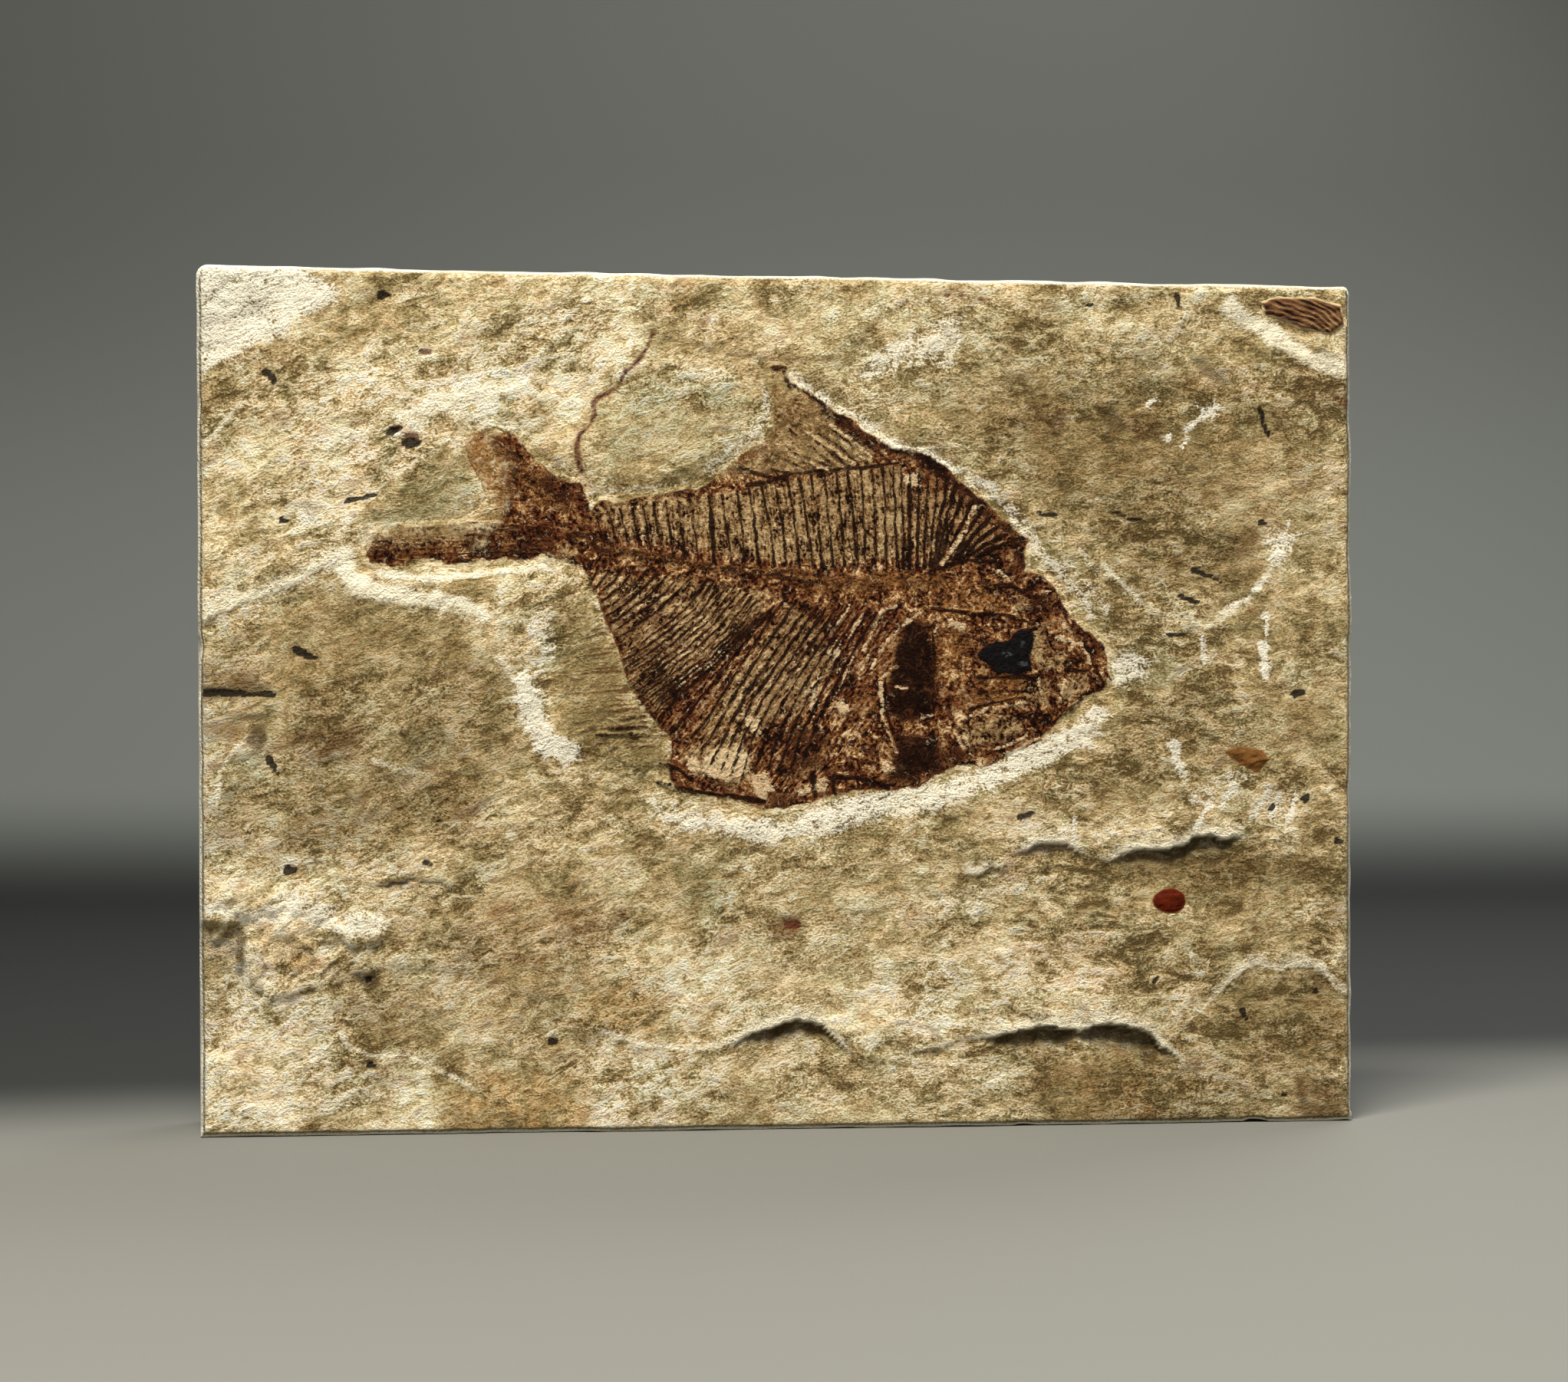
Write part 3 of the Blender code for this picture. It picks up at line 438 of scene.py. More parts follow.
# Where the stone is lighter than usual, or darker: its own beds, with painted light above some ledges and
# painted shade below them and on a facet turned from the light. By how much, over what softness, and the
# outline.
BEDS_AND_PAINTED_LIGHT = (
    (0.5, 3, ((-60.5, 67), (-52, 66), (-48, 60), (-44, 63), (-39, 69), (-34, 72), (-26, 71.6), (-20, 76),
        (-14, 81), (-13.5, 89), (-28, 89), (-34, 84), (-45, 79), (-52, 72))),
    (0.3, 1.6, ((-40, 75.5), (-33, 78), (-24, 76.4), (-20, 74.5), (-26, 72), (-34, 72.4))),
    (0.35, 2, ((-60.5, 56), (-52, 56), (-51, 48), (-52, 30), (-60.5, 30))),
    (0.18, 2, ((-60.5, 30), (-40, 28), (-36, 14), (-44, 12), (-50, 0), (-60.5, 0))),
    (0.35, 2.5, ((-22, 79), (-10, 79), (-9, 68), (-20, 67))),
    (0.2, 2, ((38, 69), (60.5, 69), (60.5, 58), (40, 58))),
    (0.2, 2, ((-19, 30), (-10, 30), (-10, 0), (-20, 0))),
    (0.2, 2, ((-40, 18), (-30, 18), (-30, 9), (-40, 9))),
    (0.18, 2, ((-40, 78), (-31, 78), (-31, 69), (-40, 70))),
    (0.18, 2, ((-9, 78), (-1, 78), (-2, 70), (-9, 69))),
    (0.22, 2, ((-30, 57.5), (-17, 57.5), (-17, 50), (-30, 49))),
    (0.15, 2, ((33, 47), (60, 47), (60, 39), (36, 39))),
    (0.18, 2, ((50, 28), (60.5, 28), (60.5, 18.5), (52, 18.5))),
    (0.2, 1.5, ((41, 6.6), (50, 6.6), (50, -0.5), (41, -0.5))),
    (-0.2, 1.5, ((-21, 17), (-11, 18), (-11, 9.6), (-21, 9.6))),
    (0.16, 1.5, ((-20, 8.6), (-11, 8), (-11, -0.5), (-20, -0.5))),
    (0.12, 2, ((-60.5, 40), (-42, 39), (-40, 29), (-60.5, 29))),
    (-0.18, 2, ((33, 19), (50, 18), (48, 12), (41, 11), (33, 12))),
    (0.15, 3, ((0, 88.5), (44, 88.5), (46, 80), (22, 74), (2, 79))),
    (0.16, 2, ((30, 86), (40, 86), (40, 77), (30, 77))),
    (-0.2, 2, ((-39, 88), (-21, 88), (-21, 79), (-39, 79))),
    (-0.16, 2, ((0, 34), (12, 35), (13, 28), (0, 28))), (-0.14, 2, ((38, 17), (50, 17), (50, 9), (38, 9))),
    (0.2, 3, ((-60.5, 52), (-44, 52), (-30, 50), (-32, 36), (-46, 30), (-60.5, 32))),
    (0.35, 2.5, ((-60.5, 52.4), (-52, 55.6), (-47, 58), (-44, 63), (-50, 66), (-60.5, 64))),
    (-0.2, 2.5, ((-60.5, 76), (-50, 80.5), (-45, 79), (-50, 74), (-56, 69), (-60.5, 68))),
    (-0.15, 1.6, ((-46, 84.4), (-37, 84), (-33, 80.5), (-44, 80.5))),
    (-0.22, 3, ((-59, 50.5), (-46, 56), (-36, 52.6), (-28, 47), (-28, 40), (-34, 32), (-46, 30), (-58, 33))),
    (-0.25, 1.2, ((-60.5, 47), (-50, 47.2), (-47, 44.4), (-60.5, 43.2))),
    (0.4, 1, ((-60.5, 44), (-58.2, 43.6), (-58.2, 33), (-60.5, 32))),
    (0.3, 2, ((-60.5, 30.5), (-50, 29.4), (-44, 27), (-46, 24.5), (-60.5, 25))),
    (0.4, 1.2, ((-55.4, 22), (-50, 24), (-45.6, 21.6), (-46.2, 16), (-50, 13.6), (-55.4, 13))),
    (-0.35, 1.4, ((-46, 15), (-42, 15), (-39.6, 11), (-34, 8.4), (-30, 7.8), (-30.6, 5.2), (-35.6, 7),
        (-38.7, 8.6), (-42.6, 8.8), (-44.6, 9.8))),
    (0.45, 2, ((-60.5, 13), (-56.8, 14), (-50, 12), (-44, 6), (-37, 5), (-36, 0), (-60.5, -0.5))),
    (-0.3, 1, ((-48.6, 2.6), (-45, 3.2), (-42.4, 2.6), (-42, -0.5), (-48.8, -0.5))),
    (0.35, 2, ((-19, 16), (-8, 20), (2, 19), (10, 18.4), (22, 20), (30, 17), (40, 17), (43, 12), (40, 10.4),
        (30, 10.8), (18, 9.6), (6, 9.4), (-4, 11.2), (-15, 9.4))),
    (0.12, 2, ((4, 15), (20, 16), (32, 14), (34, 11.8), (22, 10), (10, 8.2), (5, 9.8))),
    (0.15, 2, ((-20.5, 8), (-10, 7.4), (0, 8.6), (6, 6.8), (18, 7.6), (25, 7.4), (26, -0.5), (-21, -0.5))),
    (-0.42, 2, ((26, 8), (40, 6), (44, -0.5), (24, -0.5))),
    (-0.32, 1.5, ((43, 9.6), (45.6, 12.6), (49.6, 15.6), (60, 15.2), (60.5, 7), (48, 6))),
    (-0.25, 2.4, ((-15, 30), (0, 29.6), (9, 29.6), (9, 25.6), (-14, 24))),
    (0.3, 1.6, ((16, 31.4), (24, 33), (30, 32), (36, 32.4), (36, 29.6), (30, 30), (24, 29.4), (16, 28.6))),
    (-0.35, 2, ((31, 27), (46, 28.6), (60.5, 27.6), (60.5, 17.6), (50, 18.4), (36, 19.4), (31, 23))),
    (-0.3, 1.6, ((46.6, 29.4), (60.5, 27), (60.5, 24), (47, 25.4))),
    (-0.3, 1.6, ((30.6, 38.2), (34.8, 38.8), (40, 38.4), (39.6, 34.6), (35, 34.6), (31, 35))),
    (-0.2, 3, ((30, 56), (44, 56), (60.5, 54), (60.5, 40), (38, 32), (12, 30), (20, 34), (34, 42))),
    (-0.24, 4, ((12, 76.4), (20, 83), (32, 83.6), (44, 81), (48, 70), (46, 58), (34, 60), (24, 68),
        (16, 71))),
    (-0.22, 1.6, ((40, 60), (50, 61.6), (49.6, 57.6), (46, 54.8), (40, 56))),
    (-0.22, 1.2, ((44.6, 51.4), (49.4, 51.6), (49.4, 48.6), (45, 48.4))),
    (-0.25, 1, ((40.4, 46), (46.4, 46), (46.2, 44.2), (40.6, 44.2))),
    (-0.35, 1.4, ((46, 83.4), (50, 81.2), (55, 78.2), (60.5, 76.4), (60.5, 73.4), (52, 76), (46.6, 80))),
    (0.3, 1.6, ((44, 88.5), (49.6, 88.5), (49.8, 84), (46, 84.4))),
    (-0.25, 0.5, ((28.5, 74), (29.1, 74), (29.2, 64), (28.5, 64))),
    (-0.3, 0.5, ((47.3, 79), (48, 79), (48, 69), (47.4, 69))),
    (-0.06, 2, ((-22, 78), (-12, 79), (-6, 76), (-4, 71), (-10, 67.2), (-19.4, 66.6))),
    (-0.2, 2, ((-6, 79), (6, 79), (4, 76.6), (-4, 76.6))),
    (-0.32, 1.6, ((-24, 54), (-20.6, 55.6), (-16, 46), (-13, 41), (-13, 36.6), (-22, 38.6), (-23.6, 44))),
    (-0.3, 1.4, ((-7.6, 66.6), (-3.8, 69.4), (-1.4, 70.6), (-1.4, 76.4), (1, 76.4), (6, 72.6), (10.6, 69.6),
        (4, 68))),
)
# Where the stone is stained or dull: the stain's layer, its strength, its softness and the outline. Below the
# ledges the olive and umber patches are partly painted shade as well as stain.
SOFT_STONE = (
    ("grey", 0.3, 3, ((0, 88.5), (44, 88.5), (46, 80), (22, 70), (14, 72), (2, 79))),
    ("olive", 0.6, 3, ((-60.5, 50.5), (-47, 54.5), (-36, 52), (-28, 47), (-28, 38), (-34, 30), (-46, 27),
        (-60.5, 28))),
    ("olive", 0.35, 3, ((-40, 22), (-30, 26), (-18, 30), (-14, 22), (-20, 13), (-34, 8), (-44, 9),
        (-46, 14))),
    ("olive", 0.45, 2, ((26, 7.4), (34, 7.6), (44, 8.4), (48, 15.4), (60.5, 15), (60.5, -1), (26, -1))),
    ("olive", 0.6, 3.5, ((14, 76), (30, 79.5), (45, 80), (58, 74), (58, 60), (50, 54), (38, 56), (28, 64),
        (20, 70))),
    ("olive", 0.4, 3, ((36, 45), (48, 47), (60, 46), (60, 36), (46, 36), (34, 38))),
    ("olive", 0.6, 1.6, ((33.6, 27), (40, 27.6), (47, 28.6), (58, 27.6), (58, 24), (46, 25), (34, 24.5))),
    ("olive", 0.5, 1.6, ((-24, 54), (-20.6, 55.6), (-16, 46), (-13, 41), (-13, 36.6), (-22, 38.6),
        (-23.6, 44))),
    ("grey", 0.8, 1.6, ((-43, 63), (-38, 68), (-33, 69.5), (-31.8, 65), (-34, 62.6), (-41, 61.8))),
    ("grey", 0.6, 1.2, ((26.5, 62.5), (32.5, 58), (31.5, 55.8), (27.5, 58.5), (25.8, 61.8))),
    ("grey", 0.6, 2, ((-22, 75), (-12, 78), (-3, 76), (-4, 70.5), (-10, 67), (-19, 67))),
    ("grey", 0.8, 1, ((-39.6, 41), (-35.2, 40.6), (-34.6, 38.6), (-38.9, 37.2))),
    ("grey", 0.7, 1.6, ((-12.5, 28.5), (-6.2, 27.6), (-5.8, 21), (-11, 21.2))),
    ("grey", 0.7, 0.8, ((-24.2, 54), (-22.8, 52), (-23.8, 47), (-25.4, 46), (-25.6, 50))),
    ("grey", 0.7, 1.5, ((34.6, 49.5), (38, 52.5), (41, 50), (40, 45), (35, 44.5))),
    ("grey", 0.6, 0.8, ((-57.4, 34.2), (-56.8, 38), (-54, 39.6), (-52.2, 37), (-54, 34.2))),
    ("grey", 0.6, 0.8, ((36, 78), (41.4, 78.6), (41.6, 75.8), (36.4, 76))),
    ("grey", 0.5, 2, ((-60.5, 88.5), (-53, 88.5), (-56, 83), (-60.5, 81))),
    ("ochre", 0.6, 1.6, ((-35, 4), (-30, 6.6), (-22, 6), (-20.6, 3), (-20.4, -1), (-35, -1))),
    ("ochre", 0.6, 1.6, ((-22, 15), (-16, 16), (-12.4, 13), (-13.6, 10.4), (-21, 9.8))),
    ("ochre", 0.8, 0.8, ((-50.6, 18.4), (-48, 18.8), (-46.8, 17.2), (-50.4, 16.6))),
    ("ochre", 0.35, 2, ((-13.6, 88.5), (-8, 88.5), (-8.6, 83), (-13.6, 80))),
    ("ochre", 0.4, 2, ((29, 6), (39, 5), (38, 1), (30, 1))),
    ("ochre", 0.5, 1, ((-32, 17.4), (-26, 17), (-26.6, 15.2), (-31, 14.6))),
    ("rose", 0.25, 2.5, ((-52, 78), (-40, 78), (-30, 74), (-38, 68), (-46, 61), (-54, 66))),
    ("rose", 0.4, 1.6, ((-46, 84), (-36, 84.4), (-34, 81.4), (-43, 81))),
    ("rose", 0.6, 1.6, ((14, 87.5), (24, 87.5), (24, 84.6), (17, 84.8))),
    ("rose", 0.4, 1.4, ((-55, 22), (-47, 22.6), (-46.4, 16), (-54, 13.4))),
    ("rose", 0.35, 2, ((-58, 12), (-48, 12), (-46, 5), (-58, 3))),
    ("rose", 0.35, 2.5, ((24, 20.4), (36, 20), (42, 15), (30, 12), (22, 14))),
    ("rose", 0.5, 1.8, ((22, 28.6), (30, 29), (31, 26), (24, 25.4))),
    ("rose", 0.5, 2.5, ((-34, 24), (-20, 26), (-16, 18), (-30, 17.4))),
    ("umber", 0.5, 1.4, ((53, 79.5), (60.5, 77), (60.5, 74), (54, 74.6))),
    ("umber", 0.6, 1, ((36.4, 74.4), (39.6, 74), (40, 71.2), (36.6, 71.4))),
    ("umber", 0.45, 1.4, ((23.6, 76), (30, 76), (29, 71.4), (24, 72))),
    ("umber", 0.45, 1, ((26, 64.2), (28.6, 63.8), (28.4, 62.6), (26.2, 62.8))),
    ("umber", 0.4, 1.6, ((43.6, 61.4), (50, 61.6), (49.4, 58.6), (45, 57.8))),
    ("umber", 0.5, 1.2, ((-60.5, 46.6), (-53, 46.4), (-50.6, 44.6), (-60.5, 43.6))),
    ("umber", 0.6, 1, ((53.6, 4.8), (59.4, 4.4), (60.5, -1), (54, -1))),
    ("umber", 0.75, 0.9, ((-1.6, 21.8), (1.8, 22), (2.4, 19.8), (0.4, 19), (-1.4, 19.4))),
    ("umber", 0.4, 1, ((2.4, 22.2), (9, 22), (8.4, 20.8), (3, 20.8))),
    ("umber", 0.4, 1.6, ((-52, 41.4), (-44, 40.6), (-41, 37.4), (-50, 37.8))),
    ("umber", 0.35, 1.6, ((-24, 22.4), (-19, 22), (-19.4, 19.4), (-23.4, 19.8))),
    ("umber", 0.35, 1.2, ((-38, 20.6), (-33.8, 20.8), (-35, 18.6), (-37.6, 18.8))),
    ("umber", 0.4, 1, ((-17.4, 24), (-14.6, 23.4), (-15, 21.8), (-17.4, 22.4))),
)
# Painted shade in small pits and slits, which show as dark specks: width and the line they follow.
SHADED_PITS = (
    (0.8, ((-41.5, 85.2), (-41, 85.2))), (0.8, ((-53.2, 77.2), (-52.5, 76.6), (-52.4, 76.2))),
    (0.6, ((-40.7, 71.2), (-39.6, 71.8))), (0.9, ((-38.9, 70.2), (-37.9, 70.3))),
    (0.4, ((-45, 64.3), (-42, 64.9))), (0.5, ((-51.5, 62.2), (-50.9, 62.2))),
    (0.7, ((-50.2, 49.2), (-49, 48.6), (-47.8, 48.1))), (0.75, ((-59.8, 44.8), (-55.5, 44.8), (-52.3, 44.5))),
    (0.8, ((-50.9, 26.9), (-50.2, 26.9))), (0.6, ((-37, 27.5), (-36.5, 27.4))),
    (0.5, ((-35.8, 31.9), (-35.4, 31.7))), (0.8, ((-24.1, 9.4), (-23.8, 9.4))),
    (0.7, ((-42.5, 7.2), (-42.1, 6.9))), (0.5, ((-42.8, 15.8), (-42.5, 15.8))),
    (0.65, ((24.6, 32.1), (25.9, 32.3))), (0.9, ((54.8, 33.9), (55.2, 34.3))),
    (0.6, ((51.3, 32.9), (51.5, 33.2))), (0.8, ((58.5, 29.4), (58.9, 29.3))),
    (0.7, ((52.7, 2.9), (52.9, 2.9))), (0.6, ((38.7, 14.8), (39.1, 15.2))),
    (0.5, ((56.1, 13.6), (56.4, 13.6))), (0.5, ((48.2, 11.8), (48.6, 10.8))),
    (0.8, ((53.8, 44.8), (54.6, 45))), (0.5, ((50.3, 62.8), (50.6, 62.7))),
    (0.6, ((50, 74.8), (50.5, 73.4), (51.1, 71.9))), (0.45, ((34, 64), (36, 63.2), (37.4, 63))),
    (0.6, ((31.8, 85.5), (32.5, 85.3))), (0.45, ((41.3, 86.6), (41.6, 85))),
    (0.6, ((-52.8, 38.2), (-52.2, 37.4), (-51.8, 36.6))), (0.5, ((40.4, 50.9), (42, 51))),
    (0.5, ((43, 57.8), (46, 56.6))), (0.45, ((41.6, 55), (43.4, 54.4))), (0.45, ((26.4, 63.6), (28.2, 63.4))),
)
CRACK = (
    (-21.2, 67.6), (-21.6, 69), (-21.6, 70.3), (-21.2, 71.3), (-20.3, 72.2), (-19.9, 73.3), (-19.9, 74.5),
    (-19.5, 75), (-17.5, 76.1), (-16.5, 77.9), (-14.9, 79.5), (-13.7, 81.8),
)
# Rusty flecks: x, z, and the two radii.
RED_FLECKS = (
    (-37, 79.5, 0.8, 0.4), (16.8, 86.1, 0.5, 0.2), (18.4, 86.3, 0.4, 0.2), (20.4, 85.9, 0.5, 0.2),
    (0.6, 21, 0.9, 0.5), (-38.4, 70.9, 0.9, 0.4), (-40.2, 71.6, 0.5, 0.3),
)


def lay_stone(canvas):
    """The stains, scrapes, specks and cracks of the split face, with painted shadow under its ledges and in
    its pits, and painted highlight on the lips of its ledges.
    """
    # The tone: the stone's own beds, with painted light above some ledges and painted shade below them.
    for strength, soft, outline in BEDS_AND_PAINTED_LIGHT:
        canvas.patch("tone", outline, strength, soft)
    # Stains, and below the ledges partly painted shade.
    for layer, strength, soft, outline in SOFT_STONE:
        canvas.patch(layer, outline, strength, soft)
    for strength, outline in CHALK:
        canvas.patch("chalk", outline, strength, soft=0.9)
    for width, strength, line in CHALK_LINES:
        canvas.stroke("chalk", line, width, strength, soft=0.12 + 0.22 * width, taper=0.1)
    for width, start, end in BRUISES:
        canvas.stroke("chalk", (start, end), width, soft=0.3, taper=0.3)
    # Smooth light stone with a painted highlight along the lips and ridges.
    for width, strength, line in LIPS_AND_HIGHLIGHTS:
        canvas.stroke("lip", line, width, strength, soft=0.25 + 0.1 * width, taper=0.3)
    # Painted shadow under the overhangs.
    for strength, outline in UNDERCUT_SHADOWS:
        canvas.cave("undercut", outline, strength)
    # Painted shadow under each sharp ledge and painted highlight on its lip.
    for ledge in LEDGES:
        dark, light = ledge_shades(canvas.x, canvas.z, *ledge)
        canvas.lay("undercut", slice(None), dark)
        canvas.lay("lip", slice(None), light)
    # Painted shade in the pits and slits.
    for width, line in SHADED_PITS:
        canvas.stroke("pit", line, width, soft=0.2, taper=0.3)
    canvas.stroke("crack", CRACK, width=0.7, strength=0.85, soft=0.35)
    # Painted shade down the crack.
    canvas.stroke("pit", CRACK, width=0.4, strength=0.6, soft=0.2, taper=0.5)
    canvas.stroke("umber", UPPER_RIDGE, width=0.8, strength=0.6, soft=0.5, taper=0.2)
    for x, z, across, up in RED_FLECKS:
        canvas.spot("crack", (x, z), (across, up), strength=0.9)


def marks_depth(canvas):
    """The relief that those marks have of their own, in millimetres."""
    laid = canvas.layers
    rough = fractal(canvas.x, canvas.z, size=0.9, octaves=2, seed=81)
    sunk = 0.12 * laid["pit"] + 0.12 * laid["crack"] + 0.15 * laid["undercut"]
    return sunk + (0.10 * laid["chalk"] + 0.12 * laid["umber"]) * rough - 0.12 * laid["lip"]


# --- The fish ---

BACKBONE = (
    (-22, 60.6), (-20, 60.3), (-17.5, 59.5), (-15, 58.9), (-12.5, 58.6), (-10.5, 58.4), (-8, 57.8),
    (-6, 57.6), (-3.5, 57.4), (-1, 57.2), (0.5, 57),
)
FORE_BACKBONE = ((0.5, 57.0), (4.0, 56.6), (8.0, 56.5), (12.0, 56.6), (16.0, 56.8))
BACK_MARGIN = ((4.0, 74.0), (9.5, 70.6), (14.1, 69.2), (18.9, 65.8), (23.6, 61.6), (24.8, 58.2))
# Spines from the backbone up to the back: where each one's tip is, and its foot. A few are heavier.
SPINES = (
    ((-8, 65), (-7.45, 58.3)), ((-6.7, 65.3), (-5.75, 58.2)), ((-5.1, 65.4), (-4.35, 58.3)),
    ((-3.9, 65.8), (-2.85, 58.3)), ((-2.6, 66.2), (-1.2, 58)), ((-1.2, 66.6), (0.05, 57.9)),
    ((0.1, 66.9), (1.4, 57.8)), ((1.3, 67.1), (2.75, 57.8)), ((2.5, 67.3), (3.75, 57.8)),
    ((3.9, 67.4), (4.85, 58)), ((5.2, 67.5), (6.1, 58)), ((6.4, 67.8), (7.4, 58)), ((7.8, 68), (8.3, 57.8)),
    ((9, 68), (9.4, 57.8)), ((10.1, 68.2), (10.5, 57.8)), ((11.1, 68.3), (11.6, 57.9)),
    ((12, 68.2), (12.3, 57.8)), ((12.9, 67.8), (12.9, 57.8)), ((13.9, 67.6), (13.7, 57.8)),
    ((14.9, 67.4), (14.4, 57.9)), ((15.9, 67), (15, 58)), ((16.9, 66.9), (15.5, 58.2)),
    ((17.8, 66.6), (15.9, 58.6)), ((18.7, 65.7), (16.3, 59)), ((19.6, 64.8), (17, 58.9)),
    ((20.6, 64), (17.6, 58.8)), ((21.5, 63.2), (18, 58.9)), ((22.3, 62.3), (18.6, 58.9)),
    ((23.2, 61.4), (19.2, 59)), ((24.4, 60.9), (20, 59)),
)
HEAVY_SPINES = (0, 17, 21, 22, 23, 24, 25, 26, 27, 28, 29)
REAR_SPINES = (
    ((-19.6, 62.9), (-18.9, 60.6)), ((-18.4, 63.4), (-17.6, 60.4)), ((-17.2, 63.7), (-16.4, 60.1)),
    ((-16, 63.9), (-15.2, 59.9)), ((-14.9, 64.1), (-14.1, 59.6)), ((-13.7, 64.3), (-12.9, 59.3)),
    ((-12.5, 64.5), (-11.7, 59)), ((-11.3, 64.6), (-10.5, 58.8)), ((-10, 64.7), (-9.1, 58.6)),
)
# Guide lines for the spines below the backbone, each from the backbone down to the rear edge of the body,
# and how many spines run from each guide to the next.
LOWER_GUIDES = (
    (3, ((-19.6, 57.4), (-19.8, 57), (-20, 56.6), (-20.2, 56.2), (-20.4, 55.8))),
    (5, ((-15.6, 57.7), (-16.4, 56.6), (-17.3, 55.6), (-18.2, 54.9), (-19.2, 54.3))),
    (1, ((-9.8, 56.8), (-11.8, 54.6), (-13.9, 52.9), (-16.1, 51.3), (-17.6, 50.4))),
    (4, ((-8.1, 56.6), (-10.2, 53.7), (-12.4, 51.8), (-14.8, 50.2), (-17, 48.8))),
    (4, ((-5.3, 55.9), (-7.9, 52.4), (-10.4, 50.2), (-13.2, 48), (-16.3, 46))),
    (3, ((-3, 54.4), (-6, 50.7), (-8.6, 48.4), (-11.6, 46.2), (-15, 43.8))),
    (1, ((-2.6, 52.7), (-5.6, 49.6), (-8.2, 47.1), (-10.6, 45), (-13.5, 42))),
)
FIN_SUPPORTS_BELOW = 53
# The same for the ribs, from the backbone down to the belly.
RIB_GUIDES = (
    (2, ((-2.6, 52.7), (-5.6, 49.6), (-8.2, 47.1), (-10.6, 45), (-13.2, 42.2))),
    (2, ((0, 54.8), (-3, 50.5), (-5.4, 46.6), (-7.8, 42.8), (-9.8, 40.2))),
    (3, ((2.2, 53.9), (-1.7, 48.3), (-4.4, 44.4), (-6.4, 40.4), (-7.8, 37.6))),
    (3, ((5, 53.4), (1.6, 48.4), (-1.6, 43.8), (-3.6, 40), (-4.6, 35.8))),
    (3, ((7.6, 53.2), (4.8, 49), (2.4, 44.6), (0.6, 41), (-0.6, 37.4))),
    (1, ((10.2, 53), (8, 49.2), (5.8, 45), (4, 41), (2.8, 37.4))),
)
# Where the fish is only a stain: how strongly it shows, and the outline.
FAINT = (
    (0.62, ((-7.5, 67.4), (-3.8, 69.8), (-1.4, 71.2), (-1.2, 75.2), (0.6, 76.4), (2.4, 75.6), (4.2, 74.2),
        (6.2, 71.8), (9.2, 69.2), (4, 68.3), (0, 67.6), (-4, 66.8))),
    (0.4, ((-1.8, 78.8), (1, 78.8), (1.4, 76), (-0.6, 75.2), (-2, 77))),
    (0.58, ((-33.8, 70.8), (-30.4, 72.2), (-28.6, 68.8), (-28, 64.6), (-28.6, 61.8), (-34, 61), (-33, 63.6),
        (-32.2, 66.4), (-33.6, 68.4))),
    (0.3, ((-35, 63.4), (-31, 65.4), (-30, 62.6), (-34.8, 61.8))),
    (0.45, ((-42, 61.6), (-37, 62.2), (-34, 61.8), (-34, 61), (-42, 60.8))),
    (0.5, ((-31.8, 61.4), (-30.8, 61.4), (-30.8, 59.2), (-32.6, 59.2))),
)
# Patches of each shade of film and bone: strength and outline.
OLIVE_FILM = (
    (0.85, ((-20.4, 63.2), (-14, 64.8), (-8.2, 65.4), (-7.6, 59.8), (-13, 60.4), (-19.6, 61.6))),
    (0.75, ((-42.6, 61), (-36, 61.8), (-31.6, 61.6), (-31.4, 60.2), (-42.8, 59.6))),
    (0.9, ((-8.4, 64.6), (-3, 66), (4, 67.5), (12, 68.4), (13, 66), (12.6, 59), (4, 58.4), (-7.6, 58.9))),
    (0.55, ((13, 66.5), (18, 66), (22, 62), (23.6, 60.8), (19.8, 59.2), (15, 58.6), (13.2, 59))),
    (0.6, ((-19.8, 57), (-10, 56.4), (-1, 55.4), (-3.4, 52.6), (-9.6, 47.2), (-13.4, 42.6), (-16.8, 47.6),
        (-18.6, 53))),
    (0.66, ((0.4, 54), (3.6, 51.4), (4.8, 47.4), (1.4, 42.4), (-2.8, 41.2), (-6.6, 40.6), (-9, 41),
        (-6.8, 44.6), (-3.8, 49))),
    (0.95, ((-10.1, 38.7), (-8, 40.2), (-4.2, 41), (-3.8, 36.2), (-6, 34.6), (-9.2, 35.6))),
    (0.85, ((18, 41.4), (21.5, 42.4), (25, 42.8), (25.2, 41.2), (21.2, 39.4), (18.6, 39.6))),
    (0.9, ((26, 51.7), (27.4, 51.4), (27.4, 48.8), (29, 49.1), (29, 47.6), (26.8, 47.6), (25.9, 48.4))),
    (0.85, ((25, 46), (27.7, 45.9), (27.6, 43.9), (25.2, 43.7))),
    (0.75, ((28.7, 46.6), (31.8, 46.6), (31.6, 45.2), (29.4, 43.8), (28.5, 44.2))),
    (0.8, ((23.5, 54.6), (25.4, 54.8), (25.7, 53.4), (23.9, 53.2))),
    (0.9, ((-1.6, 70.6), (-1.4, 76), (1.6, 76), (5.6, 72.6), (9.4, 69.6), (8.8, 68.2), (-6, 67))),
    (0.5, ((-32.7, 61.6), (-31, 62), (-30.8, 59.2), (-32.8, 59.2))),
    (0.5, ((-40.5, 61.8), (-35, 61.8), (-34.6, 60.9), (-40.5, 60.8))),
    (0.7, ((-23.3, 59.7), (-21.4, 59.6), (-21.4, 58.6), (-23.2, 58.7))),
)
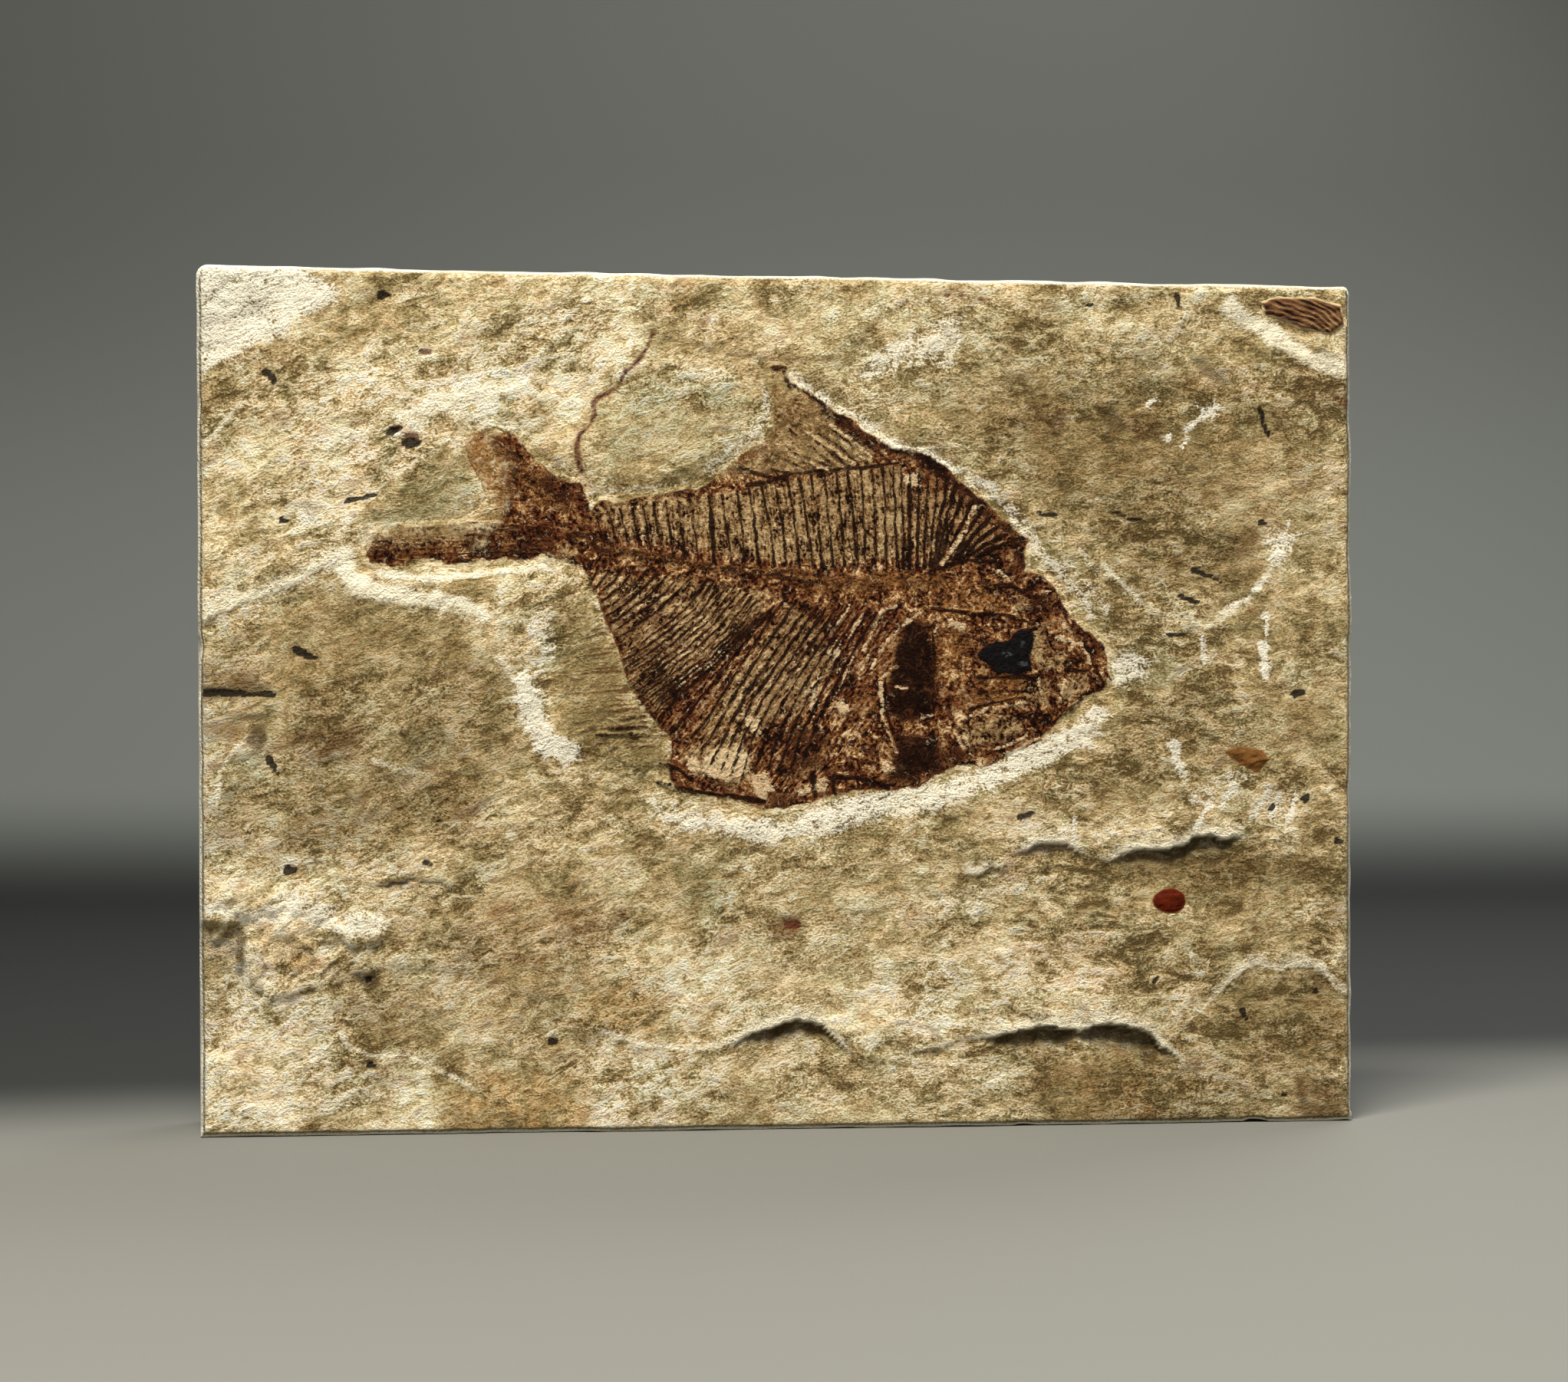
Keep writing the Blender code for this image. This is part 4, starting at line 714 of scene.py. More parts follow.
AMBER_PATCHES = (
    (0.55, ((15.5, 52.3), (19.5, 52.2), (19.8, 49.4), (18.4, 47.4), (15.5, 47.3))),
    (0.9, ((15.5, 46.9), (18.8, 46.9), (18.8, 46.2), (15.5, 46.2))),
    (0.6, ((19, 46.7), (25, 46.5), (25, 44.2), (19.2, 44))),
    (0.9, ((8.5, 44.6), (9.5, 44.5), (9.6, 42.8), (8.6, 42.7))),
    (0.9, ((-7.2, 42.4), (-6.4, 42.5), (-5, 41), (-5.5, 40.6))),
    (1, ((-33.4, 70.8), (-30.8, 71.2), (-29.8, 68.6), (-29, 65.6), (-29.4, 62.8), (-32, 62.2), (-32.2, 66))),
    (0.6, ((-38, 59.9), (-35, 59.8), (-35.2, 58.7), (-38, 58.6))),
    (0.5, ((1, 57.4), (16, 57.6), (16, 55.2), (1, 55.2))),
    (0.5, ((-29.4, 66.8), (-26.6, 66.4), (-26.2, 63.8), (-29.4, 64))),
    (0.5, ((15, 56.8), (21, 57.4), (22.6, 54.4), (19.6, 52.8), (15.4, 53.2))),
    (0.6, ((-4, 36.2), (-2, 36.6), (-1.2, 37.6), (-3.4, 37.6))),
)
RUST_PATCHES = (
    (0.45, ((-20, 56.6), (-13, 42), (-9, 40), (-6, 46), (-10, 51), (-14, 55))),
    (0.42, ((0, 55), (8, 53.4), (4, 46), (0, 40), (-4, 40), (-2, 48))),
    (0.4, ((8, 67.8), (12, 68.8), (18, 66), (22, 62), (18, 60), (14, 62))),
    (0.8, ((-31, 70.8), (-27.6, 71), (-27.2, 69.8), (-29.6, 69.6))),
    (0.7, ((-26.4, 63.8), (-22.8, 62.2), (-22.6, 60.6), (-26.4, 60.6))),
    (0.7, ((21, 39.5), (25.2, 39.7), (27, 41.4), (28.2, 41.4), (24, 38.8), (21.2, 37.4))),
    (0.8, ((13.2, 36.6), (15, 36.4), (14.9, 35.4), (13.4, 35.2))),
    (0.5, ((4.8, 54), (12, 54.6), (12, 50), (10, 46), (8, 42), (5, 42), (4.8, 47))),
    (0.4, ((-22, 62), (-9, 60.4), (-8.2, 58.6), (-21, 60.4))),
    (0.5, ((15.4, 46.1), (22, 44.4), (18, 42.4), (15.2, 42.8))),
    (0.6, ((-29.5, 66.8), (-27.6, 68), (-26.8, 66.6), (-28.8, 65.4))),
    (0.6, ((-13.4, 37.8), (-10.2, 36.4), (-8.4, 34.6), (-3, 33.6), (-4, 34.6), (-10, 37.4))),
)
DARK_PATCHES = (
    (2.4, ((12.8, 52.2), (14.4, 51.8), (15.3, 50), (15.2, 45.6), (14.4, 43.8), (12.4, 42.8), (11.2, 44.2),
        (11.2, 47.2), (11.9, 50.2))),
    (1.7, ((10.8, 40.4), (15.8, 40.5), (16, 37.4), (13.6, 35.4), (11, 35.2))),
    (1, ((15.8, 40), (18.4, 40), (19.8, 38.2), (18, 37.6), (16, 37.9))),
    (1, ((-2.4, 33.6), (-1.6, 34.9), (0.7, 34.8), (1.2, 33.6), (-0.2, 32.9), (-2.2, 32.8))),
    (0.8, ((-0.2, 41.4), (3, 41.9), (5.2, 41), (4.6, 37), (1.4, 35.8), (-0.6, 36.2))),
    (0.9, ((-13.7, 42), (-11.4, 41.8), (-9.8, 40.2), (-10.2, 38.8), (-12, 39.4))),
    (0.75, ((26.4, 56.6), (29, 54), (33.4, 50.4), (34, 47.2), (31, 47.6), (29.4, 51), (26.8, 53))),
    (1, ((32, 50.4), (33.5, 50), (33.6, 48.6), (32, 48.4))),
    (0.9, ((27.2, 50.6), (29, 50.6), (29, 49.2), (27.3, 49.1))),
    (0.95, ((25, 56.8), (28.2, 55.4), (29.2, 53.6), (28.2, 52), (25.8, 52.2), (24.9, 54.8))),
    (0.9, ((22.7, 59.8), (25, 60.6), (25, 57.4), (22.7, 56.3))),
    (0.9, ((27.8, 46.2), (28.4, 46.2), (28.4, 43.6), (27.8, 43.6))),
    (0.8, ((21.4, 41.2), (22.3, 41.1), (22.2, 40.1), (21.5, 40.2))),
    (0.95, ((-26.5, 66.8), (-25, 68.2), (-24, 67), (-23, 66.4), (-22, 66.3), (-21, 65.4), (-21.2, 64),
        (-24, 63.5), (-25, 65), (-26.8, 66))),
    (0.9, ((-27.6, 70.6), (-26.2, 70), (-26, 68.8), (-27.4, 69))),
    (0.75, ((-23.3, 62.4), (-19.8, 62.7), (-19.6, 61), (-23.2, 60.7))),
    (0.85, ((-43.6, 59.2), (-41.2, 59.4), (-40.8, 58.1), (-42.6, 58))),
    (0.8, ((-31.2, 59.6), (-24.8, 60), (-24.6, 59), (-26, 58.4), (-31.2, 58.4))),
    (0.8, ((14, 68.6), (18, 66.9), (20.2, 65.2), (18, 65.2), (15.8, 66.9), (13.8, 67.2))),
    (0.75, ((19.8, 65.4), (22.4, 63.6), (25.2, 61.3), (25.2, 60.3), (23.2, 61), (20.8, 63.4))),
    (0.8, ((4, 74.3), (5.2, 74.6), (6.2, 74.1), (7.2, 73.2), (8.4, 72.1), (9.6, 71), (10.6, 70.4), (11, 69.8),
        (11, 69), (10, 69.2), (9.1, 69.9), (8.3, 70.9), (7.1, 71.9), (6, 72.6), (5.4, 73.3), (4.6, 73.9))),
    (0.7, ((19.4, 48.8), (20.2, 49.8), (20.8, 47.4), (19.8, 46.8))),
)
PALE_PATCHES = (
    ((-8, 38.8), (-4.2, 40), (-3.9, 36.4), (-6.4, 35.2), (-8.2, 36)),
    ((-3.7, 36.3), (-1.4, 36.5), (-1, 35), (-2.2, 33.9), (-3.6, 34.4)),
    ((1.1, 35.5), (2.8, 35.4), (2.7, 34.3), (1.2, 34.2)), ((3, 36.1), (4.6, 36), (4.5, 34.6), (3.1, 34.4)),
    ((5, 43.8), (6.2, 44.6), (7, 43.6), (5.8, 42.7)), ((3.5, 49.7), (5.6, 49.9), (5.7, 49), (3.7, 48.8)),
    ((-4.5, 43), (-2.7, 42.8), (-2.5, 41.2), (-4.3, 41.2)),
    ((9.7, 37.4), (11, 37.6), (11.2, 36.2), (9.9, 36.1)),
    ((12.1, 68), (13.9, 68.2), (13.8, 66.4), (12.2, 66.2)),
    ((16.9, 52.6), (18.8, 52.5), (19, 51.6), (17.2, 51.5)),
    ((12, 52.7), (12.9, 52.6), (13, 51.8), (12.2, 51.7)),
    ((-10, 38.6), (-8.5, 38.5), (-8.2, 36.4), (-9.8, 36.2)), ((3.6, 47), (4.6, 46.6), (2.8, 43), (2, 43.3)),
)
EYE = (
    (19.9, 48.8), (21, 50), (23, 50.8), (24.2, 51.4), (26, 51.4), (26, 49), (25.6, 47.2), (23.5, 46.9),
    (21.8, 46.9), (20.5, 48),
)
# Single bones and edges: width and line.
PALE_LINES = (
    (0.4, ((4.6, 72.6), (6.8, 71), (8.9, 69.4))), (0.4, ((3.7, 72), (6, 70.6), (8.3, 69.1))),
    (0.4, ((2.3, 71.7), (4.7, 70.2), (7.1, 68.6))), (0.35, ((0.3, 69.4), (2.3, 68.7), (4.3, 68))),
    (0.45, ((14.1, 53.2), (12.5, 52.1), (10.8, 50.6), (10, 49.3))),
    (0.4, ((11.7, 47.8), (10.8, 47.1), (10, 46.3))), (0.55, ((10, 46), (9.8, 44.6), (10.1, 43.2))),
    (0.35, ((9.8, 43), (10.4, 41.3), (11.3, 39.4), (11.6, 38.5))),
    (0.45, ((21.2, 57.9), (22.4, 57.5), (23.4, 56.6))), (0.35, ((26, 55.3), (27.7, 55.5))),
    (0.5, ((28.4, 50.7), (31, 50), (31.7, 48.9), (32, 47.8))), (0.35, ((29.2, 52), (29.9, 51.2))),
    (0.35, ((32.2, 47), (33, 45.9))), (0.35, ((33.1, 47.1), (33.8, 46))),
    (0.45, ((18.4, 42.1), (21, 43.2), (25.1, 43.9))),
    (0.45, ((16, 41.7), (17.4, 41), (18, 40.1), (18.7, 39.1))),
    (0.35, ((18.6, 40.4), (19.3, 38.7), (20.5, 37))), (0.35, ((21.4, 38.9), (23.2, 39.4), (25.2, 40.4))),
    (0.3, ((22.6, 38.4), (24.6, 39.2), (26.6, 40.3))),
    (0.5, ((19.6, 64.1), (18.8, 62), (17.5, 60), (16.2, 58.2))),
    (0.4, ((-17.6, 41.7), (-15.6, 41.9), (-13.7, 41.8))), (0.4, ((5.4, 52), (6.6, 54))),
    (0.4, ((6.6, 50.6), (8.2, 53.4))), (0.35, ((8, 49.2), (9.6, 52.2))), (0.35, ((5.8, 46), (7, 48.6))),
    (0.35, ((7.6, 46.4), (8.6, 48.8))), (0.3, ((9, 47.4), (9.9, 49.8))), (0.35, ((6.9, 40.2), (8.2, 42.8))),
    (0.3, ((26.4, 46.4), (26.9, 44.2))), (0.35, ((28.8, 44), (29.3, 46.2))),
    (0.3, ((29.6, 53.4), (30, 52.2))), (0.35, ((11.6, 53.9), (10, 53.3), (9, 51.6))),
    (0.35, ((12.6, 45.4), (11.4, 45.5))), (0.35, ((14.2, 42.4), (15.4, 42.6))),
    (0.35, ((15.6, 50.9), (15.9, 52.7))),
)
DARK_LINES = (
    (0.42, ((4.9, 72.2), (6.5, 70.8), (8.2, 69.2), (8.8, 68.3))),
    (0.4, ((3.4, 71.7), (4.8, 70.9), (6.2, 69.8), (7.5, 68.6))),
    (0.35, ((4.2, 70.5), (5.5, 69.2), (6.3, 68.2))), (0.35, ((0.9, 69.5), (2.8, 69.1), (4.3, 68.2))),
    (0.35, ((-1.1, 69.4), (1.2, 68.3))), (0.3, ((0.3, 72), (1.2, 71.4))),
    (0.35, ((-4.9, 68.2), (-2.9, 67.4), (-0.3, 66.9))), (0.3, ((-1.5, 68), (0.6, 67.4))),
    (0.35, ((-4, 66.3), (-2, 66.6), (0.6, 67.5), (4, 67.9), (9, 68.3), (12, 68.8))),
    (0.5, ((-1.9, 78.3), (0.2, 78.4))), (0.6, ((-0.2, 78), (0.4, 76.4))), (0.3, ((1.2, 78.2), (4.3, 78.2))),
    (0.4, ((5.2, 77.4), (5.8, 77.4))), (0.4, ((-3.9, 76.2), (-3, 76.2))), (0.35, ((0.8, 76.6), (4.2, 74.6))),
    (0.55, ((11, 70), (12.5, 69.8), (14, 69.6), (15.5, 68.7), (16.5, 68.2))),
    (0.4, ((32, 45.2), (29.9, 43.2), (28, 41.9))), (0.5, ((-24.8, 59), (-23.2, 58.5), (-21.8, 58))),
    (0.4, ((-33.8, 58.3), (-32, 58.2))), (0.55, ((-13, 37.6), (-11.2, 37), (-9.8, 36))),
    (0.5, ((-13.3, 35.7), (-11, 35), (-8.5, 34.5), (-5, 34.2), (-2.4, 33.7))),
    (0.35, ((-19.6, 40.5), (-16.4, 40.6), (-13, 40.4))), (0.3, ((-18.4, 41.3), (-15.4, 41.4), (-13.4, 41))),
    (0.3, ((-17, 42.4), (-14.6, 42.4))), (0.5, ((20, 46.4), (23, 46.6), (26.4, 46.6))),
    (0.35, ((19.2, 43.2), (22, 44), (25, 44.4))), (0.3, ((20.2, 44.9), (22.6, 45.2), (24.8, 45.1))),
    (0.5, ((14.8, 43.6), (12, 43.4), (10.6, 44.4))), (0.35, ((10.4, 46.6), (10.2, 43.4), (11.2, 40.8))),
    (0.4, ((29.4, 47.4), (31.6, 47.2))), (0.4, ((31.8, 46.8), (33.2, 45.4))),
    (0.35, ((32.7, 47.2), (33.4, 45.9))), (0.4, ((33.7, 47), (34.1, 46.3))),
    (0.35, ((30.2, 49.4), (31.2, 48.2))), (0.6, ((5.2, 36.2), (8, 36), (10.6, 35.2))),
    (0.5, ((2.8, 36.6), (2.9, 34.2))), (0.5, ((4.9, 36.4), (5, 34.4))),
    (0.5, ((15.6, 57.9), (19, 58.6), (22.6, 58.4))), (0.45, ((20.8, 55.8), (23.6, 56), (25.4, 55))),
    (0.4, ((15.4, 53.6), (19, 53.2), (22.8, 53), (25.4, 52.2))), (0.35, ((15.4, 52), (15.5, 47), (15.3, 44))),
)
RUST_LINES = (
    (0.6, ((-20.7, 56.6), (-19.6, 54.4), (-17.9, 50.7), (-17.2, 48.7), (-16.8, 47), (-15.7, 44.8),
        (-13.7, 42))),
    (0.4, ((-13.6, 35.9), (-11.4, 35.4), (-8.6, 34.8))), (0.4, ((-12.4, 38.2), (-10.4, 37.2))),
    (0.4, ((6, 36.9), (8.4, 36.6), (10.2, 37.6))), (0.4, ((-2, 34.2), (-4.4, 34.4), (-7.4, 35))),
    (0.5, ((1, 33.9), (4.6, 34.5), (8.4, 35.2), (12.4, 35))),
)
BELLY = ((-20, 57), (0, 55.5), (12, 55), (12, 46), (8, 40), (2, 34), (-10, 35), (-14, 42), (-18, 49))
BACK_FILM = (
    (-20, 62.5), (-8, 65.5), (4, 68), (12, 69), (18, 66), (24, 61), (16, 57.5), (0, 57.5), (-20, 59.5),
)
TAIL_RAYS, BACK_FIN_RAYS, LOWER_FIN_RAYS = 13, 9, 30


def between(first, last, share):
    """The line a share of the way from one line to another that has as many points."""
    return [tuple((1 - share) * a + share * b for a, b in zip(p, q)) for p, q in zip(first, last)]


def lay_lower_spines(canvas):
    """The fan of spines under the backbone, with pale film and short fin supports between them."""
    for (count, first), (_, last) in zip(LOWER_GUIDES, LOWER_GUIDES[1:]):
        for k in range(count):
            spine, gap = between(first, last, k / count), between(first, last, (k + 0.5) / count)
            canvas.stroke("bone", spine, width=0.29, strength=0.70, soft=0.15, taper=0)
            canvas.stroke("pale", gap[1:4], width=0.32, strength=0.45, taper=0.1)
            if first[-1][1] < FIN_SUPPORTS_BELOW:
                canvas.stroke("bone", gap[3:], width=0.26, strength=0.55, soft=0.13, taper=0)


def lay_ribs(canvas):
    """The ribs, with pale film between them, and the heavier one that parts them from the fan."""
    for (count, first), (_, last) in zip(RIB_GUIDES, RIB_GUIDES[1:]):
        for k in range(count):
            rib, gap = between(first, last, k / count), between(first, last, (k + 0.5) / count)
            canvas.stroke("bone", rib, width=0.36, strength=0.70, soft=0.17, taper=0)
            canvas.stroke("pale", gap[1:4], width=0.36, strength=0.42, soft=0.2, taper=0.2)
    canvas.stroke("bone", RIB_GUIDES[0][1][:4], width=1.1, strength=0.62, soft=0.5, taper=0.3)


def lay_spines(canvas):
    """The spines above the backbone: straight and even behind, leaning into a fan over the gill cover."""
    for k, (tip, foot) in enumerate(SPINES):
        bend = 0.12 * (tip[0] - foot[0])
        middle = ((tip[0] + foot[0]) / 2 - bend, (tip[1] + foot[1]) / 2)
        width = 0.58 if k in HEAVY_SPINES else 0.36
        canvas.stroke("bone", (foot, middle, tip), width, strength=0.74, taper=0.2)
    for tip, foot in REAR_SPINES:
        canvas.stroke("bone", (foot, tip), width=0.32, strength=0.75, taper=0.3)
    for spines, strength in ((SPINES, 0.3), (REAR_SPINES, 0.5)):
        for (tip, foot), (other_tip, other_foot) in zip(spines, spines[1:]):
            gap = between((foot, tip), (other_foot, other_tip), 0.5)
            canvas.stroke("pale", gap, 0.3, strength, soft=0.2, taper=0.3)


def lay_backbone(canvas):
    """The backbone, with a golden core and a pale joint at every vertebra."""
    x, z = canvas.fine
    for line, thick, strength in ((BACKBONE, 1.5, 0.5), (FORE_BACKBONE, 1.7, 0.4)):
        canvas.stroke("bone", line, thick, strength, soft=0.4, taper=0.35)
        canvas.stroke("amber", line, width=0.5, strength=0.8, soft=0.3, taper=0)
    joints = smooth(np.abs((canvas.x + 100) % 1.2 - 0.6), 0.28, 0.5)
    d = to_line(x, z, BACKBONE)[0]
    canvas.lay("pale", slice(None), 0.4 * joints * smooth(d, 0.5, 0.2))


def lay_tail(canvas):
    """The rays of the tail's two lobes."""
    for k in range(TAIL_RAYS):
        share = k / (TAIL_RAYS - 1)
        upper_end = (-31.6 + 1.4 * share, 71.4 - 6.6 * share)
        upper = ((-22.6, 64.2 - 0.9 * share), (-27.0, 68.6 - 3.8 * share), upper_end)
        lower = ((-24.0, 61.6 - 2.4 * share), (-32.0, 62.2 - 3.8 * share), (-42.8, 61.0 - 2.8 * share))
        for lobe in (upper, lower):
            strength = 0.62 - 0.2 * (k % 2) - 0.2 * share * (lobe is upper)
            canvas.stroke("bone", lobe, 0.26, strength, soft=0.14, taper=0.5)
        canvas.stroke("amber", between(upper, lower, 0.02), width=0.3, strength=0.5, soft=0.15, taper=0.1)


def lay_fins(canvas):
    """The rays of the fin on the back, the dark margin of the back, and the fin under the body."""
    for k in range(BACK_FIN_RAYS):
        foot, reach = (2.4 + 1.05 * k, 67.5 + 0.17 * k), 3.6 - 0.1 * k
        tip = (foot[0] - 1.1 * reach, foot[1] + 0.85 * reach)
        gap = ((foot[0] + 0.5, foot[1] + 0.1), (tip[0] + 0.5, tip[1] + 0.1))
        canvas.stroke("bone", (foot, tip), width=0.46, strength=0.45 + 0.03 * k, soft=0.17, taper=0.5)
        canvas.stroke("pale", gap, width=0.3, strength=0.4, taper=0.3)
    canvas.stroke("bone", BACK_MARGIN, width=1.5, strength=0.55, soft=0.7, taper=0.2)
    for k in range(LOWER_FIN_RAYS):
        z = 38.6 + 0.48 * k
        left, right = -23.4 + 0.012 * (k - 12) ** 2, -13.4 - 0.2 * k
        ray = ((right, z + 0.3), ((left + right) / 2, z + 0.1 * (k % 3)), (left, z - 0.3))
        canvas.stroke("hair", ray, width=0.3, strength=0.55 + 0.15 * (7 * k % 4), taper=0.75)


def lay_eye(canvas):
    """The dark eye and the painted grey glints in it."""
    canvas.patch("bone", EYE, soft=0.35)
    canvas.patch("eye", EYE, strength=0.8, soft=0.5)
    for x, z, across, up in ((23.0, 48.9, 0.8, 0.3), (24.6, 50.0, 0.4, 0.6), (24.7, 48.0, 0.5, 0.3)):
        canvas.spot("glint", (x, z), (across, up), strength=0.6, soft=0.9)


def film_of(canvas):
    """How strongly the fish's film shows at each point. It frays more towards the tail."""
    fray = 0.3 + 0.3 * smooth(canvas.x, -22, -27)
    nibbled = [
        fine + fray * fractal(canvas.x, canvas.z, size=1.6, octaves=3, seed=seed)
        for fine, seed in zip(canvas.fine, (101, 104))
    ]
    film = smooth(outside(*nibbled, FISH_OUTLINE), 0.3, -0.4)
    for strength, outline in FAINT:
        share = smooth(outside(*canvas.ragged, outline), 1.2, -0.9)
        film = film * (1 - share) + strength * share
    return film


def lay_fish(canvas):
    """Everything that shows in the fish, from the film up to its bones."""
    x, z = canvas.fine
    canvas.layers["ghost"] = smooth(outside(x, z, ANAL_FIN), 0.8, -1.6)
    canvas.patch("ribbed", BELLY, soft=1.5)
    canvas.patch("spined", BACK_FILM, soft=1.5)
    for layer, patches in (("olive", OLIVE_FILM), ("amber", AMBER_PATCHES), ("rust", RUST_PATCHES)):
        for strength, outline in patches:
            canvas.patch(layer, outline, strength, soft=0.8)
    for outline in PALE_PATCHES:
        canvas.patch("pale", outline, strength=0.8)
    for strength, outline in DARK_PATCHES:
        canvas.patch("bone", outline, 0.5 * strength, soft=1.7)
    for lay in (lay_lower_spines, lay_ribs, lay_spines, lay_backbone, lay_tail, lay_fins):
        lay(canvas)
    for width, line in DARK_LINES:
        canvas.stroke("bone", line, width + 0.06, strength=0.72, soft=0.14, taper=0.15)
    for width, line in RUST_LINES:
        canvas.stroke("rust", line, width, strength=0.9, soft=0.2, taper=0.1)
    lay_eye(canvas)
    on_top = np.zeros(x.shape)
    for width, line in PALE_LINES:
        canvas.stroke("pale", line, width, strength=0.66, soft=0.13, taper=0.25)
        index = canvas.near(line, width + 0.6)
        d = to_line(x[index], z[index], line)[0]
        on_top[index] = np.maximum(on_top[index], smooth(d, width / 2 + 0.1, width / 2 - 0.1))
    canvas.layers["bone"] *= 1 - 0.85 * on_top
    canvas.layers["film"] = np.maximum(film_of(canvas), 0.9 * canvas.layers["bone"])


def fish_rise(canvas):
    """How far the fish stands off the stone, in millimetres."""
    laid = canvas.layers
    x, z = canvas.x, canvas.z
    film = laid["film"]
    head = smooth(x, 14.0, 20.0) * smooth(outside(x, z, FISH_OUTLINE), 0.2, -3.0)
    crumbs = fractal(x, z, size=0.8, octaves=3, seed=91, gain=0.6)
    rays = 0.05 * laid["hair"] * laid["ghost"]
    rise = 0.05 + film * (0.10 + 0.05 * crumbs) + 0.13 * laid["bone"] + 0.15 * laid["pale"]
    rise = rise + 0.08 * laid["amber"] + 0.18 * head + 0.10 * laid["eye"] + rays
    return np.where(film > 0.01, rise, 0.05 + rays)


# --- Modelling ---

# Layers laid on the face: besides stains and scrapes, they carry the painted highlight on lips, the painted
# shadow under ledges, the painted shade in pits and, in the tone, painted light and shade by the ledges.
STAIN_LAYERS = ("tone", "chalk", "lip", "olive", "umber", "ochre", "grey", "rose", "undercut", "pit", "crack")
FISH_LAYERS = ("ribbed", "spined", "bone", "rust", "amber", "pale", "film", "ghost", "hair", "eye", "glint")
FOOT_LEAN, RIGHT_CORNER_DROP, CORNER_ROUND = 0.6, 0.2, 1.2
BACK_BEVEL, BACK_INSET = 0.5, 1.0
SIDE_RINGS = (-5.5, -1.0, 3.5)
FILM_MARGIN, SCRAP_MARGIN, SCALE_MARGIN = 0.95, 0.3, 0.1
NEAR = 0.01
MOST_TRIANGLES = 200000


def deselect_all():
    if bpy.context.mode != "OBJECT":
        bpy.ops.object.mode_set(mode="OBJECT")
    bpy.ops.object.select_all(action="DESELECT")


def edit_selected(piece, mode, parts, chosen):
    """Goes into edit mode with only the chosen vertices, edges or polygons selected."""
    bpy.context.view_layer.objects.active = piece
    bpy.ops.object.mode_set(mode="EDIT")
    bpy.ops.mesh.select_mode(type=mode)
    bpy.ops.mesh.select_all(action="DESELECT")
    bpy.ops.object.mode_set(mode="OBJECT")
    getattr(piece.data, parts).foreach_set("select", chosen)
    bpy.ops.object.mode_set(mode="EDIT")
    bpy.ops.mesh.select_mode(type=mode)


def add_sheet(name, left, right, low, high, cell):
    """A flat grid of about this cell that looks forwards, over this part of the face."""
    deselect_all()
    bpy.ops.mesh.primitive_grid_add(
        x_subdivisions=round((right - left) / cell),
        y_subdivisions=round((high - low) / cell),
        size=1,
        location=((left + right) / 2 * MM, FRONT * MM, (low + high) / 2 * MM),
        rotation=(math.pi / 2, 0, 0),
    )
    sheet = bpy.context.active_object
    sheet.scale = ((right - left) * MM, (high - low) * MM, 1)
    bpy.ops.object.transform_apply(location=True, rotation=True, scale=True)
    sheet.name = sheet.data.name = name
    return sheet


def points_of(piece):
    """The piece's points in millimetres, one row each."""
    points = np.empty(len(piece.data.vertices) * 3)
    piece.data.vertices.foreach_get("co", points)
    return points.reshape(-1, 3) / MM


def move_points(piece, points):
    piece.data.vertices.foreach_set("co", (points * MM).ravel())
    piece.data.update()


def select_rim(piece):
    """Goes into edit mode with the open edges selected."""
    bpy.context.view_layer.objects.active = piece
    bpy.ops.object.mode_set(mode="EDIT")
    bpy.ops.mesh.select_mode(type="EDGE")
    bpy.ops.mesh.select_all(action="DESELECT")
    bpy.ops.mesh.select_non_manifold(
        extend=False, use_wire=False, use_boundary=True, use_multi_face=False,
        use_non_contiguous=False, use_verts=False,
    )


def extrude_rim(back):
    bpy.ops.mesh.extrude_edges_move(TRANSFORM_OT_translate={"value": (0, back * MM, 0)})


def resize_rim(across, up, depth):
    """Scales the selected rim about the middle of the slab at this depth."""
    bpy.ops.transform.resize(value=(across, 1, up), center_override=(0, depth * MM, TOP / 2 * MM))


def close_back(piece):
    """Fills the open rim, turns every face outwards and rounds the shading."""
    bpy.ops.mesh.edge_face_add()
    bpy.ops.mesh.select_all(action="SELECT")
    bpy.ops.mesh.normals_make_consistent(inside=False)
    bpy.ops.object.mode_set(mode="OBJECT")
    piece.select_set(True)
    bpy.ops.object.shade_smooth_by_angle(angle=math.radians(60))


def store_layers(piece, layers):
    """Keeps each layer on the piece's points, for its finish to read."""
    for name, values in layers.items():
        attribute = piece.data.attributes.new(name, "FLOAT", "POINT")
        attribute.data.foreach_set("value", np.clip(values, -1, 1).astype(np.float32))


def check_size(piece):
    piece.data.calc_loop_triangles()
    triangles = len(piece.data.loop_triangles)
    if triangles >= MOST_TRIANGLES:
        raise RuntimeError(f"{piece.name} has {triangles} triangles")


def skew_to_corners(points):
    """Leans the left edge, drops the right end of the top and rounds the upper corners of the block."""
    across = (points[:, 0] - LEFT) / (RIGHT - LEFT)
    up = points[:, 2] / TOP
    left = points[:, 0] < 0
    points[left, 0] *= 1 + FOOT_LEAN / LEFT * (1 - up[left])
    points[:, 2] *= 1 - RIGHT_CORNER_DROP / TOP * across
    past_x = np.maximum(np.abs(points[:, 0]) - (RIGHT - CORNER_ROUND), 0)
    past_z = np.maximum(points[:, 2] - (TOP - CORNER_ROUND), 0)
    pull = np.minimum(CORNER_ROUND / np.maximum(np.hypot(past_x, past_z), 1e-6), 1) - 1
    points[:, 0] += np.sign(points[:, 0]) * past_x * pull
    points[:, 2] += past_z * pull
    return points


